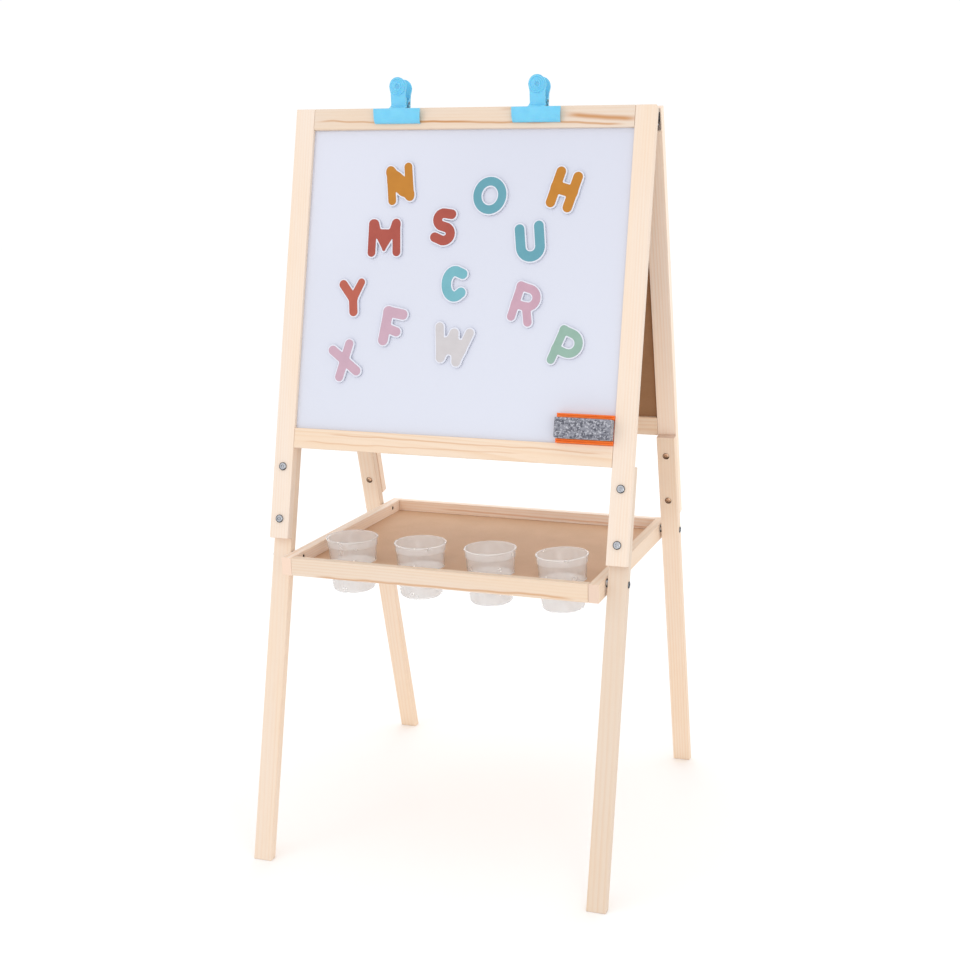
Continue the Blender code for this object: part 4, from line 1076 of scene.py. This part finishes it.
def addLugs(bm, away, root, grip, pivot, flange):
    # Side walls that reach in from the lever to the pivot
    outline = []
    for share in (0.06, 0.2, 0.4, 0.62):
        spot = root.lerp(grip, share)
        outline.append((spot.y - away * 0.0012, spot.z))
    for angle in (85, 55, 25, 0, -25, -55, -85):
        turn = radians(angle)
        outline.append((pivot.y - away * 0.0031 * cos(turn), pivot.z + 0.0031 * sin(turn)))
    for sign in (-1, 1):
        side = bmesh.new()
        addSwept(side, outline, *sorted((sign * flange, sign * (flange + clipShape["flangeWall"]))))
        softenEdges(side, 0.0003, 1, 60)
        joinInto(bm, side)


def clipHalf(name, index, end, body, node):
    c = clipShape
    lever = clipLevers[end]
    away = lever["away"]
    pivot = clipPivot(index)
    face = railFace if away < 0 else railBack
    lip = postTop - c["jawDrop"]
    height = c["jawDrop"] - c["shelfDrop"]
    root = Vector((0, face + away * lever["root"], postTop + hair))
    grip = Vector((0, pivot.y + away * lever["grip"], lever["height"]))
    bm = bmesh.new()
    addJaw(bm, away, face, lip, height)
    addShelf(bm, away, face + away * c["stand"], lip + height, root)
    addLever(bm, away, root, grip)
    addLugs(bm, away, root, grip, pivot, lever["flange"])
    place = frontPlace @ Matrix.Translation((pivot.x, 0, 0))
    addPiece(name, bm, materials["clipBlue"], body, place, [node], 32)


def coilPath():
    c = clipShape
    length = c["wire"] * 2.3 * c["turns"]
    path = [(-length / 2 - 0.0004, -0.0075, 0.0105), (-length / 2 - 0.0002, -0.0045, 0.0050)]
    steps = c["turns"] * 16
    for step in range(steps + 1):
        angle = radians(150) - 2 * pi * c["turns"] * step / steps
        path.append((-length / 2 + length * step / steps, c["coil"] * cos(angle), c["coil"] * sin(angle)))
    return path + [(length / 2 + 0.0002, 0.0045, 0.0050), (length / 2 + 0.0004, 0.0075, 0.0105)]


def addWire(bm, path, radius):
    curve = bpy.data.curves.new("coil", "CURVE")
    curve.dimensions = "3D"
    curve.bevel_depth = radius
    curve.bevel_resolution = 2
    curve.use_fill_caps = True
    spline = curve.splines.new("POLY")
    spline.points.add(len(path) - 1)
    for point, spot in zip(spline.points, path):
        point.co = (*spot, 1)
    coil = bpy.data.objects.new("coil", curve)
    bpy.context.collection.objects.link(coil)
    mesh = bpy.data.meshes.new_from_object(coil.evaluated_get(bpy.context.evaluated_depsgraph_get()))
    bpy.data.objects.remove(coil)
    bpy.data.curves.remove(curve)
    bm.from_mesh(mesh)
    bpy.data.meshes.remove(mesh)


def clipSpring(index):
    c = clipShape
    bm = bmesh.new()
    addWire(bm, coilPath(), c["wire"])
    pinEnd = [(0, 0), (0.0018, 0), (0.0022, 0.0003), (0.0022, 0.0006), (0.0013, 0.0006)]
    profile = pinEnd + [(radius, c["pin"] - along) for radius, along in reversed(pinEnd)]
    addTurned(bm, profile, outwards((-c["pin"] / 2, 0, 0), (1, 0, 0)), 24)
    place = frontPlace @ Matrix.Translation(clipPivot(index))
    addPiece(f"clip_{index}_coil", bm, materials["springSteel"], f"clip_{index}", place,
             [f"clip_{index}_spring"])


def buildClips():
    for index in (1, 2):
        clipHalf(f"clip_{index}_rear_lever", index, "rear", f"clip_{index}", f"clip_{index}_rear_half")
        clipHalf(f"clip_{index}_front_lever", index, "front", f"clip_{index}_jaw", f"clip_{index}_front_half")
        clipSpring(index)
    print("clips built")


# eraser

eraserShape = {"lip": 0.0060, "plate": 0.0030, "groove": 0.0012, "feltGrid": 0.0011, "rough": 0.00045,
               "calm": 0.3}


def buildHolder():
    # A channel with grooved lips: half of its outline, as (depth, height in from the edge)
    e = eraserShape
    low, high = localBox("eraser_body", frontPlace)
    back, front = high.y, low.y
    plate = back - e["plate"]
    groove = front + e["groove"]
    edge = [(back, 0), (front + 0.0006, 0), (front + 0.0002, 0.0024), (groove, 0.0026), (groove, 0.0032),
            (front, 0.0034), (front, e["lip"]), (plate, e["lip"])]
    outline = [(y, low.z + inwards) for y, inwards in edge]
    outline += [(y, high.z - inwards) for y, inwards in reversed(edge)]
    bm = bmesh.new()
    addSwept(bm, outline, low.x, high.x)
    softenEdges(bm, 0.0003, 2, 45)
    addPiece("eraser_holder", bm, materials["eraserOrange"], "eraser", frontPlace,
             ["eraser_body"])


def buildWool():
    # A soft-edged block cut into a fine grid, then roughened, less where it lies in the holder
    e = eraserShape
    low, high = localBox("eraser_felt", frontPlace)
    bm = bmesh.new()
    addBlock(bm, low, high)
    softenEdges(bm, 0.0014, 3, 50)
    for axis, span in enumerate(high - low):
        across = Vector([1 if axis == other else 0 for other in range(3)])
        for cut in range(1, int(span / e["feltGrid"])):
            spot = Vector(low)
            spot[axis] += cut * e["feltGrid"]
            geom = bm.verts[:] + bm.edges[:] + bm.faces[:]
            bmesh.ops.bisect_plane(bm, geom=geom, plane_co=spot, plane_no=across)
    bm.normal_update()
    moves = {}
    for vert in bm.verts:
        lumps = noise.noise(vert.co * 700) + 0.6 * noise.noise(vert.co * 1500)
        share = e["calm"] if vert.co.y > high.y - 0.001 else 1
        moves[vert] = vert.normal * lumps * e["rough"] * share
    for vert, move in moves.items():
        vert.co += move
    addPiece("eraser_wool", bm, materials["felt"], "eraser", frontPlace, ["eraser_felt"], 70)


def buildEraser():
    buildHolder()
    buildWool()
    print("eraser built")



placeCamera()
placeLights()
layFloor()
print("camera, lights and floor placed")
dressNodes()
buildLetters()
buildCups()
buildBolts()
buildTrayInserts()
buildHingeScrews()
buildClips()
buildEraser()
